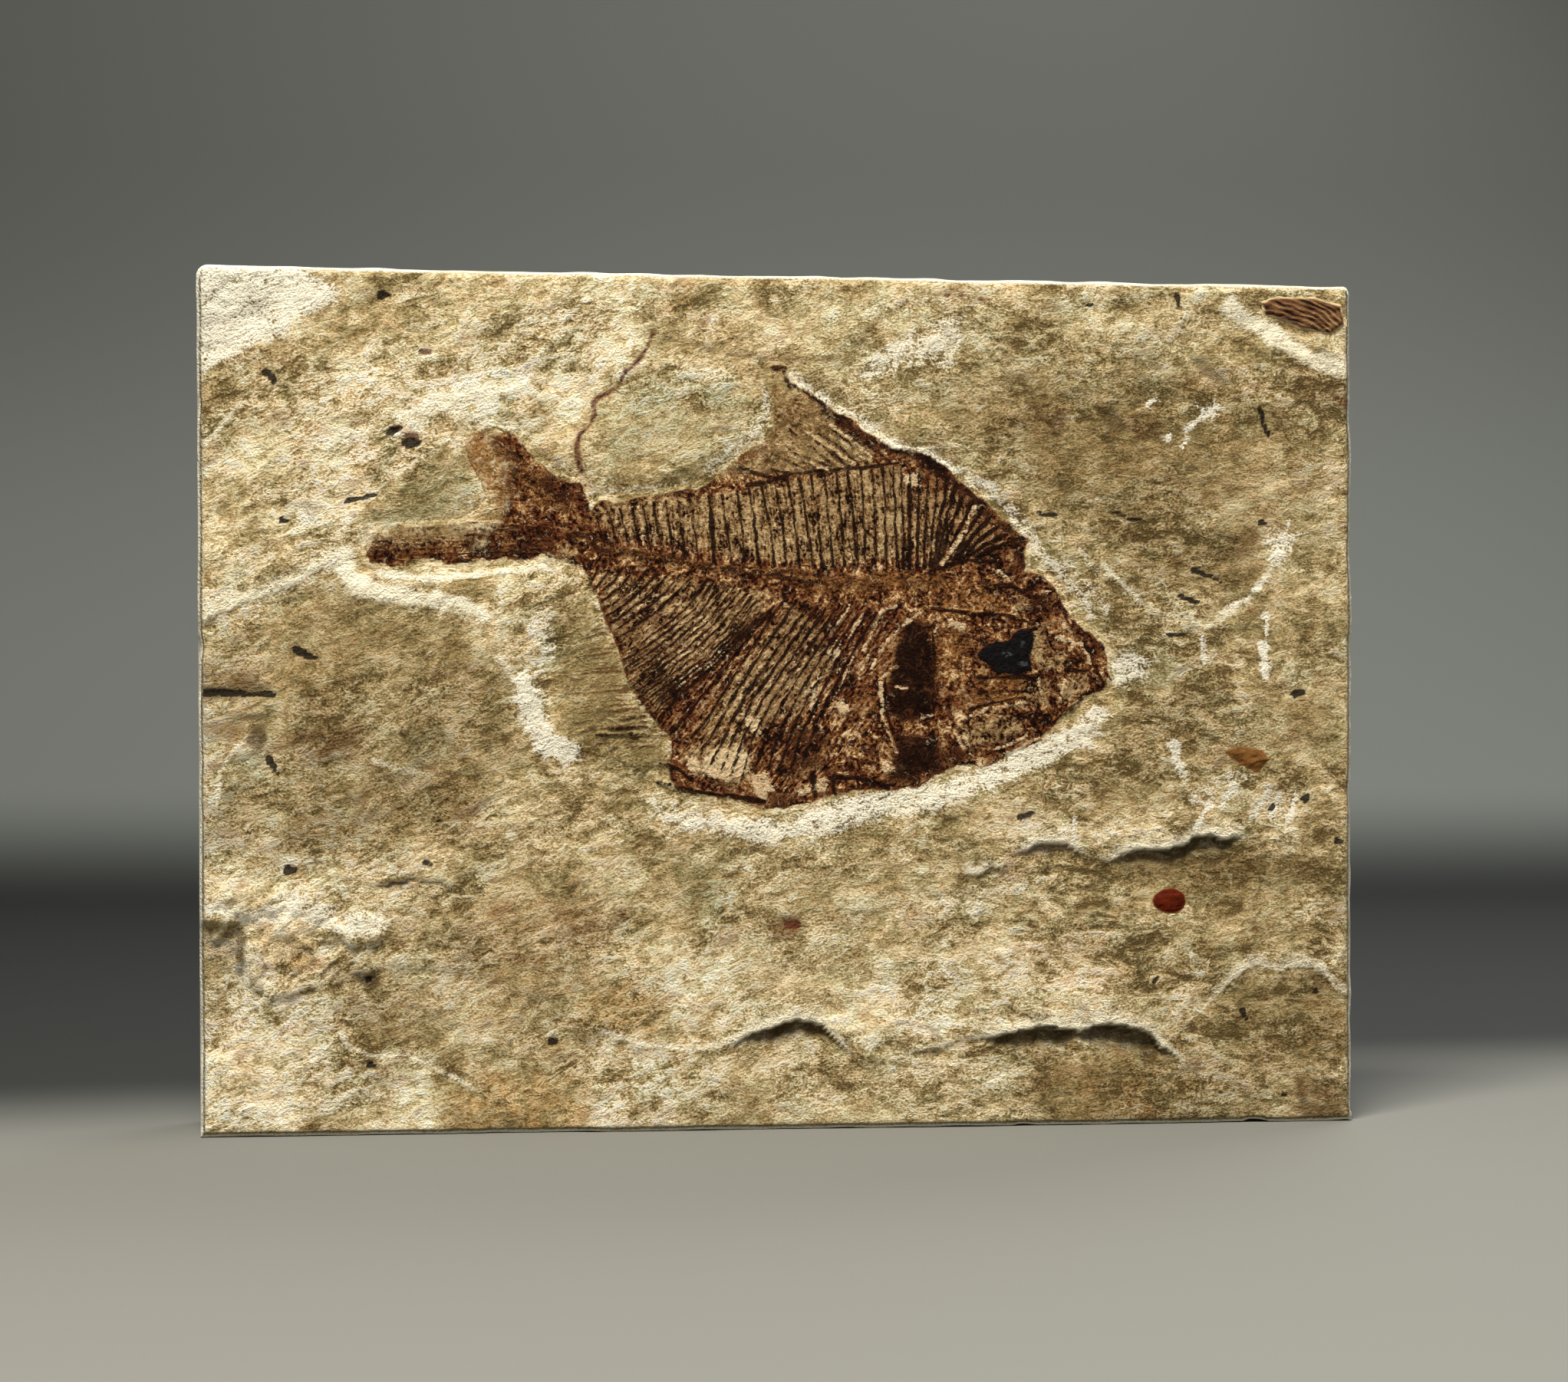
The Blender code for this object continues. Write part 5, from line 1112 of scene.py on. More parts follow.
def make_slab(sizes):
    """The block: a fine sheet for the split face, run back along the sides and closed behind."""
    rim = sizes.rim / MM
    slab = add_sheet("FossilSlabStone", LEFT + rim, RIGHT - rim, rim, TOP - rim, sizes.stone_cell / MM)
    select_rim(slab)
    extrude_rim(rim)
    resize_rim(RIGHT / (RIGHT - rim), TOP / (TOP - 2 * rim), FRONT)
    level = FRONT + rim
    for ring in SIDE_RINGS + (BACK - BACK_BEVEL,):
        extrude_rim(ring - level)
        level = ring
    for deeper, inset in ((BACK_BEVEL, BACK_BEVEL), (0, BACK_INSET)):
        extrude_rim(deeper)
        resize_rim(1 - inset / RIGHT, 1 - 2 * inset / TOP, BACK)
    close_back(slab)
    shape_slab(slab, rim)
    check_size(slab)
    return slab


def under_fossils(x, z):
    """Where the stone lies under a fossil, from 0 to 1."""
    under = smooth(outside(x, z, FISH_OUTLINE), -0.5, -1.2)
    for outline in (CORNER_OUTLINE, RED_OUTLINE, AMBER_OUTLINE):
        under = np.maximum(under, smooth(outside(x, z, outline), -0.1, -0.5))
    return under


def shape_slab(slab, rim):
    """Gives the face its relief and stains, and rubs and chips the edges round it."""
    points = points_of(slab)
    flat = points[:, 1].copy()
    on_face = flat < FRONT + NEAR
    on_rim = (flat > FRONT + NEAR) & (flat < FRONT + rim + NEAR)
    points = skew_to_corners(points)
    x, z = points[:, 0], points[:, 2]
    canvas = Canvas(x, z, STAIN_LAYERS + ("sawn", "gentle"))
    lay_stone(canvas)
    depth = face_depth(x, z) + marks_depth(canvas)
    depth = np.clip(depth + 0.35 * under_fossils(x, z), 0.03, 4.5)
    points[on_face, 1] = FRONT + depth[on_face]
    points[on_rim, 1] = FRONT + depth[on_rim] + rim * (0.75 - 0.6 * (z[on_rim] < rim))
    wear = 0.10 * (1 + noise(x + flat, z - flat, size=3, seed=31)) * on_rim
    chip = 0.35 * smooth(noise(x, z, size=5, seed=33), 0.6, 0.95) * on_rim * (z < TOP - 2)
    inwards = np.minimum(wear + chip, 0.8)
    points[:, 0] -= np.sign(points[:, 0]) * inwards * (np.abs(points[:, 0]) > RIGHT - 1.5)
    points[:, 2] += np.where(points[:, 2] < 1, inwards, 0) - np.where(points[:, 2] > TOP - 1, inwards, 0)
    move_points(slab, points)
    to_edge = np.minimum.reduce([points[:, 0] - LEFT, RIGHT - points[:, 0], TOP - points[:, 2]])
    for name in STAIN_LAYERS:
        canvas.layers[name] *= on_face | on_rim
    canvas.layers["sawn"] = np.where(on_face, 0.8 * smooth(to_edge, 0.9, 0.5), 1.0)
    canvas.layers["gentle"] = smooth(x, *GRAIN_TURN)
    store_layers(slab, canvas.layers)


def cut_sheet(name, node, spare, cell, margin, *outlines):
    """A sheet cut to these outlines and the margin round them, with edges that run back to the back of the
    CAD node. spare is how far the uncut sheet reaches past the node."""
    low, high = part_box(node)
    reach = (low.x / MM - spare, high.x / MM + spare, low.z / MM - spare, high.z / MM + spare)
    sheet = add_sheet(name, *reach, cell)
    centres = np.empty(len(sheet.data.polygons) * 3)
    sheet.data.polygons.foreach_get("center", centres)
    x, z = centres[0::3] / MM, centres[2::3] / MM
    away = np.minimum.reduce([outside(x, z, outline) for outline in outlines])
    edit_selected(sheet, "FACE", "polygons", away > margin)
    bpy.ops.mesh.delete(type="FACE")
    select_rim(sheet)
    extrude_rim(high.y / MM - FRONT)
    close_back(sheet)
    return sheet


def sink_front(piece, depth, least, most):
    """Lays the points in front of the piece's back at this depth behind the highest bed."""
    points = points_of(piece)
    in_front = points[:, 1] < points[:, 1].max() - NEAR
    points[in_front, 1] = FRONT + np.clip(depth[in_front], least, most)
    move_points(piece, points)


def make_fish(sizes):
    """The fish: a fine sheet cut to its outline, which lies on the stone and stands off it a little."""
    cell = sizes.fish_cell / MM
    fish = cut_sheet("FossilFish", "fossil_fish", 1.2, cell, FILM_MARGIN, FISH_OUTLINE, ANAL_FIN)
    points = points_of(fish)
    x, z = points[:, 0], points[:, 2]
    canvas = Canvas(x, z, STAIN_LAYERS + FISH_LAYERS + ("gentle",))
    lay_stone(canvas)
    lay_fish(canvas)
    canvas.layers["gentle"] = smooth(x, *GRAIN_TURN)
    edge = np.minimum(outside(x, z, FISH_OUTLINE), outside(x, z, ANAL_FIN))
    depth = face_depth(x, z) + marks_depth(canvas) - fish_rise(canvas)
    sink_front(fish, depth + 0.3 * smooth(edge, 0.45, FILM_MARGIN), 0.05, 4.0)
    store_layers(fish, canvas.layers)
    check_size(fish)
    return fish


def make_inlay(name, node, outline, cell, margin, rise):
    """A small fossil let into the face: rise says how far it stands off the stone at each point."""
    piece = cut_sheet(name, node, 0.4, cell, margin, outline)
    points = points_of(piece)
    x, z = points[:, 0], points[:, 2]
    edge = outside(x, z, outline)
    sink_front(piece, face_depth(x, z) - rise(x, z, edge), 0.02, 3.0)
    store_layers(piece, {"edge": smooth(edge, 0.1, -0.6), "ridge": ridges(x, z)})
    check_size(piece)
    return piece


def ridges(x, z):
    """The close ribbing of the corner fossil, which curves down to the right."""
    bowed = z + 0.035 * (x - 48.0) ** 2 + 0.4 * fractal(x, z, size=1.8, octaves=3, seed=41)
    return 0.5 + 0.5 * np.sin(bowed * math.tau / 0.62)


def corner_rise(x, z, edge):
    body = smooth(edge, 0.25, -0.5)
    uneven = 0.05 * noise(x, z, size=0.7, seed=43)
    return 0.24 * body + 0.14 * body * ridges(x, z) - 0.12 * (1 - body) + uneven


def scale_rise(x, z, edge):
    uneven = 0.02 * noise(x, z, size=0.5, seed=45)
    return 0.24 * smooth(edge, 0.05, -0.8) + uneven - 0.15 * smooth(edge, -0.02, 0.2)


# --- Finishes ---


class Amount:
    """A number, colour or direction that a finish works out at each point of a surface."""

    def __init__(self, finish, socket):
        self.finish = finish
        self.socket = socket

    def worked(self, operation, first, second):
        return self.finish.node("ShaderNodeMath", {"operation": operation}, {0: first, 1: second})

    def __add__(self, other):
        return self.worked("ADD", self, other)

    def __radd__(self, other):
        return self.worked("ADD", other, self)

    def __sub__(self, other):
        return self.worked("SUBTRACT", self, other)

    def __rsub__(self, other):
        return self.worked("SUBTRACT", other, self)

    def __mul__(self, other):
        return self.worked("MULTIPLY", self, other)

    def __rmul__(self, other):
        return self.worked("MULTIPLY", other, self)


class Finish:
    """A material that is being made, node by node."""

    def __init__(self, name):
        self.material = bpy.data.materials.new(name)
        self.material.use_nodes = True
        self.tree = self.material.node_tree
        self.tree.nodes.clear()
        self.place = self.node("ShaderNodeTexCoord", output="Object")

    def node(self, kind, settings=None, sockets=None, output=0):
        """A node of this kind, with its settings, then the values or links of its sockets. Gives back its
        output, if it has any."""
        made = self.tree.nodes.new(kind)
        for name, value in (settings or {}).items():
            if name == "stops":
                for spare in made.color_ramp.elements[1:]:
                    made.color_ramp.elements.remove(spare)
                made.color_ramp.elements[0].position = value[0][0]
                made.color_ramp.elements[0].color = (*value[0][1], 1)
                for position, tint in value[1:]:
                    made.color_ramp.elements.new(position).color = (*tint, 1)
            else:
                setattr(made, name, value)
        for name, value in (sockets or {}).items():
            if isinstance(value, Amount):
                self.tree.links.new(value.socket, made.inputs[name])
            else:
                made.inputs[name].default_value = value
        return Amount(self, made.outputs[output]) if made.outputs else None

    def layer(self, name):
        return self.node("ShaderNodeAttribute", {"attribute_name": name}, output="Fac")

    def axis(self, letter):
        """How far along X, Y or Z the place is."""
        return self.node("ShaderNodeSeparateXYZ", None, {0: self.place}, output=letter)

    def along(self, degrees, stretch):
        """The place, drawn out along a line that rises to the right by this angle."""
        turn = (0, -math.radians(degrees), 0)
        sockets = {"Vector": self.place, "Rotation": turn, "Scale": stretch}
        return self.node("ShaderNodeMapping", {"vector_type": "TEXTURE"}, sockets)

    def lumps(self, place, size, detail=2.0, rough=0.5, swirl=0.0):
        """Noise from 0 to 1 in lumps of this size in millimetres."""
        sockets = {"Scale": 1 / (size * MM), "Detail": detail, "Roughness": rough, "Distortion": swirl}
        return self.node("ShaderNodeTexNoise", None, {"Vector": place, **sockets})

    def ease(self, amount, low, high, start=0.0, end=1.0):
        """Start where the amount is low, end where it is high, and smooth between."""
        sockets = {"Value": amount, "From Min": low, "From Max": high, "To Min": start, "To Max": end}
        return self.node("ShaderNodeMapRange", {"interpolation_type": "SMOOTHSTEP"}, sockets)

    def blend(self, share, first, second, how="MIX"):
        """Two colours, by the share of the second."""
        first, second = (c if isinstance(c, Amount) else (*c, 1) for c in (first, second))
        settings = {"data_type": "RGBA", "blend_type": how}
        return self.node("ShaderNodeMix", settings, {0: share, 6: first, 7: second}, output=2)

    def stain(self, under, name, tint, rag, low, high, most):
        """A layer's stain over what is under it: rag breaks its edge, and most is its fullest share."""
        return self.blend(self.ease(self.layer(name) + rag, low, high) * most, under, tint)

    def ramp(self, amount, *stops):
        return self.node("ShaderNodeValToRGB", {"stops": stops}, {"Fac": amount})

    def bumps(self, height, deep):
        """Relief of this depth in millimetres."""
        return self.node("ShaderNodeBump", None, {"Height": height, "Distance": deep * MM, "Strength": 1.0})

    def surface(self, **sockets):
        """The finished material. Its sockets are named with _ for a space."""
        named = {name.replace("_", " "): value for name, value in sockets.items()}
        shader = self.node("ShaderNodeBsdfPrincipled", None, named)
        self.node("ShaderNodeOutputMaterial", None, {"Surface": shader})
        return self.material


FLAKE_STEPS = 9.0
POCK_TINT = (0.30, 0.22, 0.18)
# How strongly each tint takes where the stone is stained with it.
STAINS = {"olive": 0.95, "umber": 0.95, "ochre": 0.8, "grey": 0.85, "rose": 0.8}


def stone_colour(finish, colours):
    """The split stone: its colour, with painted shade and highlight that follow its relief, its relief from 0
    to 1 and its fine grain.
    """
    layer, lumps, ease, blend, stain = finish.layer, finish.lumps, finish.ease, finish.blend, finish.stain
    steep = finish.along(20, (1.9, 1, 1))
    gentle = finish.along(2, (1.9, 1, 1))
    share = layer("gentle")

    def streak(**kind):
        return lumps(steep, **kind) * (1 - share) + lumps(gentle, **kind) * share

    flakes = streak(size=2.4, detail=3, rough=0.6, swirl=0.8)
    crumbs = streak(size=0.8, detail=5, rough=0.72, swirl=0.6)
    grain = lumps(finish.place, size=0.24, rough=0.6)
    cloud = lumps(finish.place, size=4.5, detail=4, rough=0.6, swirl=0.6)
    steps = flakes * FLAKE_STEPS
    part = finish.node("ShaderNodeMath", {"operation": "FRACT"}, {0: steps})
    chips = (steps - part + ease(part, 0.8, 1.0)) * (1 / FLAKE_STEPS)
    banks = lumps(finish.along(10, (1.6, 1, 1)), size=6, detail=3, rough=0.6, swirl=0.5)
    broken = ease(banks, 0.38, 0.62, start=0.68, end=1.25)
    crisp = (chips - 0.5) * 1.05 + (crumbs - 0.5) * 1.2 + (grain - 0.5) * 0.7
    # Tone shares its chips, crumbs and grain with the relief, so the stone is painted darker in its hollows
    # and lighter on its peaks: painted shade and highlight over its own grain. The tone layer adds the beds
    # and the painted light and shade by the ledges.
    tone = 0.515 + crisp * broken + (cloud - 0.5) * 0.55 + layer("tone") * 0.26
    relief = 0.5 + (0.4 * (chips - 0.5) + 0.45 * (crumbs - 0.5) + 0.25 * (grain - 0.5)) * broken
    colour = finish.ramp(
        tone, (0.20, colours.hollow), (0.37, colours.brown), (0.50, colours.tan), (0.63, colours.cream),
        (0.82, colours.bright))
    patches = lumps(finish.place, size=3, detail=4, rough=0.65, swirl=1)
    hue = blend(ease(patches, 0.40, 0.62), colours.warm, colours.cool)
    colour = blend(0.5, colour, hue, "MULTIPLY")
    # The tints are stains; below the ledges the olive and umber also stand in for painted shade.
    for name, most in STAINS.items():
        tinted = blend(1.0, colour, getattr(colours, name), "MULTIPLY")
        colour = stain(colour, name, tinted, (flakes - 0.5) * 2.0, 0.05, 0.95, most)
    ragged = (crumbs - 0.5) * 2.6 + (grain - 0.5) * 1.6
    # Smooth light stone with a painted highlight on the lips of ledges and ridges.
    colour = stain(colour, "lip", colours.lip, ragged * 0.35, 0.15, 0.9, most=0.8)
    colour = stain(colour, "chalk", colours.chalk, ragged, 0.30, 0.85, most=0.82)
    # Painted shadow under the ledges and overhangs, lightened here and there by crumbs.
    patchy = ease(crumbs, 0.32, 0.60, start=1.0, end=0.7)
    colour = stain(colour, "undercut", colours.undercut, ragged * 1.1, 0.15, 0.95, most=patchy)
    colour = stain(colour, "crack", colours.crack, ragged * 0.5, 0.3, 0.7, most=0.85)
    # Painted shade in the pits, slits and crack.
    colour = stain(colour, "pit", colours.pit, ragged * 0.4, 0.3, 0.6, most=0.94)
    return colour, relief, grain


def slab_finish(colours):
    """The stone, with smoother sawn sides that show faint beds, dust and the marks of the saw."""
    finish = Finish("SplitLimestone")
    colour, relief, grain = stone_colour(finish, colours)
    sawn = finish.ease(finish.layer("sawn") + (grain - 0.5) * 0.4, 0.35, 0.75)
    bedding = finish.lumps(finish.along(0, (7, 1, 7)), size=1, detail=3, rough=0.6)
    dust = finish.lumps(finish.place, size=7, detail=5, rough=0.6)
    kerf = finish.lumps(finish.along(82, (14, 1, 1)), size=0.5)
    mix = 0.25 * bedding + 0.32 * dust + 0.1 * kerf + 0.33 * grain
    saw = finish.ramp(mix, (0.38, colours.saw_dark), (0.50, colours.saw), (0.60, colours.saw_light))
    normal = finish.bumps(relief * (1 - sawn) + (0.08 * kerf + 0.15 * grain) * sawn, deep=1.3)
    colour = finish.blend(sawn, colour, saw)
    return finish.surface(Base_Color=colour, Roughness=0.9, Specular_IOR_Level=0.12, Normal=normal)


def fish_finish(colours):
    """Film and bone over the stone, streaked along the ribs and spines, with the stone where no film is."""
    finish = Finish("FossilBone")
    layer, lumps, ease, blend, ramp = finish.layer, finish.lumps, finish.ease, finish.blend, finish.ramp
    stone, relief, grain = stone_colour(finish, colours)
    ribbed, spined = layer("ribbed"), layer("spined")
    crumbs = lumps(finish.place, size=1.1, detail=4, rough=0.74, swirl=1)
    rib_streaks = lumps(finish.along(52, (4.5, 1, 1)), size=0.34, detail=3, rough=0.6, swirl=0.2)
    spine_streaks = lumps(finish.along(96, (4.5, 1, 1)), size=0.34, detail=3, rough=0.6, swirl=0.2)
    flecks = lumps(finish.place, size=0.3, rough=0.6)
    clouds = lumps(finish.place, size=3, detail=4, rough=0.65, swirl=0.6)
    drawn = crumbs + (rib_streaks - crumbs) * ribbed * 0.6 + (spine_streaks - crumbs) * spined * 0.5
    coarse = (drawn - 0.5) * (2.5 + 0.9 * (ribbed + spined))
    mottle = 0.47 + coarse + (flecks - 0.5) * 1.1 + (clouds - 0.5) * 1.3
    film = ramp(
        mottle, (0.26, colours.bone), (0.44, colours.rust), (0.57, colours.film), (0.72, colours.amber),
        (0.92, colours.pale))
    olive = ramp(
        mottle, (0.16, colours.bone), (0.32, colours.film), (0.50, colours.olive_bone),
        (0.80, colours.pale_bone))
    bone = ramp(drawn, (0.55, colours.bone), (0.76, colours.rust))
    ragged = (drawn - 0.5) * 2.4 + (flecks - 0.5) * 1.2
    blots = lumps(finish.along(0, (1, 1, 0.7)), size=0.7, detail=4, rough=0.7, swirl=1)
    blotchy = (blots - 0.5) * 3.0
    colour = blend(ease(layer("olive") + blotchy * 0.8, 0.15, 0.75), film, olive)

    def laid(under, name, tint, rag, low, high, most):
        """A stain that keeps to the places where its layer has been laid at all."""
        amount = ease(layer(name) + rag, low, high) * ease(layer(name), 0.02, 0.2)
        return blend(amount * most, under, tint)

    colour = laid(colour, "amber", colours.amber, blotchy, 0.3, 1.0, most=0.7)
    colour = laid(colour, "rust", colours.rust, ragged, 0.3, 0.9, most=0.7)
    specks = lumps(finish.place, size=0.6, detail=4, rough=0.75, swirl=0.6)
    pocked = blend(1.0, colour, POCK_TINT, "MULTIPLY")
    colour = blend(ease(specks, 0.47, 0.37) * 0.8, colour, pocked)
    colour = blend(ease(specks, 0.56, 0.68) * 0.5, colour, colours.pale)
    colour = laid(colour, "pale", colours.pale, blotchy, 0.35, 0.8, most=0.85)
    colour = laid(colour, "bone", bone, ragged * 0.9, 0.36, 0.64, most=0.97)
    colour = laid(colour, "eye", colours.eye, ragged * 0.8, 0.3, 0.6, most=0.92)
    # Painted glints in the eye.
    colour = laid(colour, "glint", colours.glint, ragged * 0.8, 0.3, 0.9, most=0.7)
    fin = ease(layer("ghost"), 0.2, 0.8)
    hair = ease(layer("hair") + ragged * 0.5, 0.3, 0.75) * fin
    ghost = finish.stain(stone, "ghost", colours.ghost, blotchy * 0.5, 0.2, 1.1, most=0.35)
    ghost = blend(hair * 0.85, ghost, colours.hair)
    shown = ease(layer("film") + ragged * 0.5, 0.25, 0.75)
    normal = finish.bumps(relief * (1 - shown) + (0.6 * drawn + 0.3 * flecks) * shown, deep=0.8)
    colour = blend(shown, ghost, colour)
    rough = 0.95 - shown * 0.2
    return finish.surface(Base_Color=colour, Roughness=rough, Specular_IOR_Level=0.04, Normal=normal)


def corner_finish(colours):
    """Ribbed bone, dark between the ribs, that goes over into stone at its edge."""
    finish = Finish("CornerBone")
    crumbs = finish.lumps(finish.along(-25, (3, 1, 1)), size=0.5, detail=3, rough=0.6)
    ridge = finish.layer("ridge") * 0.7 + 0.15 + (crumbs - 0.5) * 2.2
    colour = finish.ramp(
        ridge, (0.1, colours.bone), (0.45, colours.corner), (0.75, colours.film), (1.0, colours.olive_bone))
    edge = finish.ease(finish.layer("edge") + (crumbs - 0.5) * 0.8, 0.1, 0.6)
    colour = finish.blend(edge, colours.tan, colour)
    normal = finish.bumps(crumbs, deep=0.35)
    return finish.surface(Base_Color=colour, Roughness=0.7, Specular_IOR_Level=0.12, Normal=normal)


def scale_finish(name, dark, light, colours):
    """A fish scale with fine growth lines, stained like the stone at its rim."""
    finish = Finish(name)
    crumbs = finish.lumps(finish.along(8, (2.5, 1, 1)), size=0.45, detail=3, rough=0.6)
    flecks = finish.lumps(finish.place, size=0.2)
    colour = finish.ramp(0.7 * crumbs + 0.3 * flecks, (0.36, dark), (0.62, light))
    edge = finish.ease(finish.layer("edge") + (crumbs - 0.5) * 0.7, 0.0, 0.35)
    colour = finish.blend(edge, colours.umber_stone, colour)
    normal = finish.bumps(crumbs, deep=0.12)
    return finish.surface(Base_Color=colour, Roughness=0.75, Specular_IOR_Level=0.04, Normal=normal)


def sweep_finish(stage):
    """Matt paper for the floor and the backdrop, with painted shade: it darkens well behind the slab,
    lightens up the wall and darkens again a little in the upper left corner."""
    finish = Finish("PaperSweep")
    across, back, up = (finish.axis(letter) for letter in "XYZ")
    # Painted shade on the paper behind the slab, further off at the right.
    behind = finish.ease(back - 0.25 * across, -0.01, 0.08)
    colour = finish.blend(behind, stage.floor_colour, stage.shade_colour)
    colour = finish.blend(finish.ease(up, 0.0, 0.03), colour, stage.wall_colour)
    colour = finish.blend(finish.ease(up, 0.10, 0.22), colour, stage.wall_top_colour)
    # Painted shade in the upper left corner.
    corner = finish.ease(up, 0.06, 0.2) * finish.ease(across, 0.1, -0.25)
    colour = finish.blend(corner * 0.3, colour, stage.shade_colour)
    rough = 0.9 + (finish.lumps(finish.place, size=0.8) - 0.5) * 0.05
    return finish.surface(Base_Color=colour, Roughness=rough, Specular_IOR_Level=0.2)


# --- Settings ---


def length(name, description, millimetres):
    """A setting in millimetres that is kept in metres."""
    return FloatProperty(
        name=name, description=description, default=millimetres * MM, min=0, subtype="DISTANCE",
        unit="LENGTH", precision=5)


def paint(name, description, red, green, blue):
    """A colour setting, by the numbers of a paint chart."""
    return FloatVectorProperty(
        name=name, description=description, default=shade(red, green, blue), size=3, min=0, max=1,
        subtype="COLOR")


def power(name, description, watts):
    return FloatProperty(name=name, description=description, default=watts, min=0, unit="POWER")


class FossilSlabSizes(bpy.types.PropertyGroup):
    rim: length("Rim", "Width of the rubbed edge round the split face", 0.8)
    stone_cell: length("Stone cell", "Spacing of the points on the split face", 0.344)
    fish_cell: length("Fish cell", "Spacing of the points on the fish", 0.152)
    inlay_cell: length("Inlay cell", "Spacing of the points on the small fossils", 0.09)


class FossilSlabColours(bpy.types.PropertyGroup):
    hollow: paint("Hollow", "Stone in the hollows of the split face", 92, 74, 42)
    # The stone's tones follow its relief: the darkest carry painted shade in its hollows and the lightest
    # painted highlight on its peaks, over the stone's own grain.
    brown: paint("Brown", "Shaded stone", 142, 122, 82)
    tan: paint("Tan", "Most of the stone", 182, 160, 119)
    cream: paint("Cream", "Stone on the peaks", 222, 205, 169)
    bright: paint("Bright", "Brightest stone", 242, 234, 218)
    olive: paint("Olive", "Tint of the duller stone", 190, 180, 160)
    umber: paint("Umber", "Tint of the brown stains", 150, 125, 95)
    ochre: paint("Ochre", "Tint of the rusty stains", 216, 188, 138)
    grey: paint("Grey", "Tint of the grey green stains", 205, 212, 205)
    rose: paint("Rose", "Tint of the pinkish stone", 252, 232, 216)
    warm: paint("Warm", "Tint of the warmer crumbs", 255, 245, 230)
    cool: paint("Cool", "Tint of the cooler crumbs", 240, 252, 244)
    chalk: paint("Chalk", "Scraped stone", 230, 222, 200)
    # Smooth light stone with a painted highlight on the ledge lips.
    lip: paint("Lip", "Smooth light stone of the ledge lips", 238, 228, 200)
    # Colour of the painted shadow under the ledges and overhangs.
    undercut: paint("Undercut", "Stone in the dark under the ledges", 62, 46, 24)
    crack: paint("Crack", "Iron stained cracks and flecks", 92, 42, 26)
    # Colour of the painted shade in pits and slits.
    pit: paint("Pit", "Specks and slits", 22, 15, 9)
    saw: paint("Sawn stone", "Sawn sides and back", 204, 195, 171)
    saw_light: paint("Light sawn stone", "Dusty parts of the sawn sides", 222, 215, 195)
    saw_dark: paint("Dark sawn stone", "Darker beds in the sawn sides", 180, 168, 140)
    bone: paint("Bone", "Darkest bone", 22, 8, 3)
    rust: paint("Rust", "Red brown bone", 84, 38, 17)
    film: paint("Film", "Brown film of the body", 98, 66, 36)
    amber: paint("Amber", "Golden bone", 146, 100, 52)
    pale: paint("Pale", "Pale pinkish bone", 200, 174, 134)
    olive_bone: paint("Olive film", "Greenish film between the spines", 132, 105, 68)
    pale_bone: paint("Cream film", "Cream film between the spines", 164, 138, 98)
    eye: paint("Eye", "The eye", 14, 13, 14)
    # Painted glints in the eye.
    glint: paint("Glint", "Grey flecks in the eye", 78, 82, 84)
    hair: paint("Fin rays", "Fine rays of the faint fin", 84, 56, 30)
    ghost: paint("Faint fin", "Stain of the faint fin", 154, 135, 92)
    corner: paint("Corner bone", "Ribbed bone in the corner", 92, 58, 34)
    red: paint("Red scale", "The red scale", 86, 26, 6)
    red_dark: paint("Dark red scale", "Hollows of the red scale", 50, 14, 4)
    amber_light: paint("Amber scale", "The amber scale", 116, 78, 38)
    amber_dark: paint("Dark amber scale", "Hollows of the amber scale", 74, 46, 20)
    umber_stone: paint("Scale rim", "Stone at the rim of a scale", 130, 100, 66)


class FossilSlabStage(bpy.types.PropertyGroup):
    floor_colour: paint("Floor", "Paper of the floor", 108, 107, 100)
    shade_colour: paint("Shade", "Paper far behind the slab", 32, 33, 30)
    wall_colour: paint("Wall", "Paper low on the wall", 106, 108, 102)
    wall_top_colour: paint("Wall top", "Paper high on the wall", 100, 101, 95)
    lens: FloatProperty(name="Lens", description="Focal length of the camera", default=85.0, unit="CAMERA")
    key_power: power("Key light", "Power of the main light", 9.5)
    fill_power: power("Fill light", "Power of the soft light", 2.0)
    back_power: power("Back light", "Power of the light behind", 4.0)


# --- Operators ---


def fit(piece, node, material):
    """Puts the piece in its node's place on the frame, in its finish."""
    piece.data.materials.clear()
    piece.data.materials.append(material)
    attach(piece, "root")
    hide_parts(node)


class FOSSILSLAB_OT_stone(bpy.types.Operator):
    """Makes the slab of split limestone"""

    bl_idname = "fossil_slab.stone"
    bl_label = "Stone"

    def execute(self, context):
        slab = make_slab(context.scene.fossil_slab_sizes)
        fit(slab, "limestone_slab", slab_finish(context.scene.fossil_slab_colours))
        return {"FINISHED"}


class FOSSILSLAB_OT_fish(bpy.types.Operator):
    """Makes the fossil fish"""

    bl_idname = "fossil_slab.fish"
    bl_label = "Fish"

    def execute(self, context):
        fish = make_fish(context.scene.fossil_slab_sizes)
        fit(fish, "fossil_fish", fish_finish(context.scene.fossil_slab_colours))
        return {"FINISHED"}


class FOSSILSLAB_OT_corner(bpy.types.Operator):
    """Makes the ribbed scrap of fossil in the corner"""

    bl_idname = "fossil_slab.corner"
    bl_label = "Corner fossil"

    def execute(self, context):
        cell = context.scene.fossil_slab_sizes.inlay_cell / MM
        scrap = make_inlay("CornerFossil", "corner_fossil", CORNER_OUTLINE, cell, SCRAP_MARGIN, corner_rise)
        fit(scrap, "corner_fossil", corner_finish(context.scene.fossil_slab_colours))
        return {"FINISHED"}


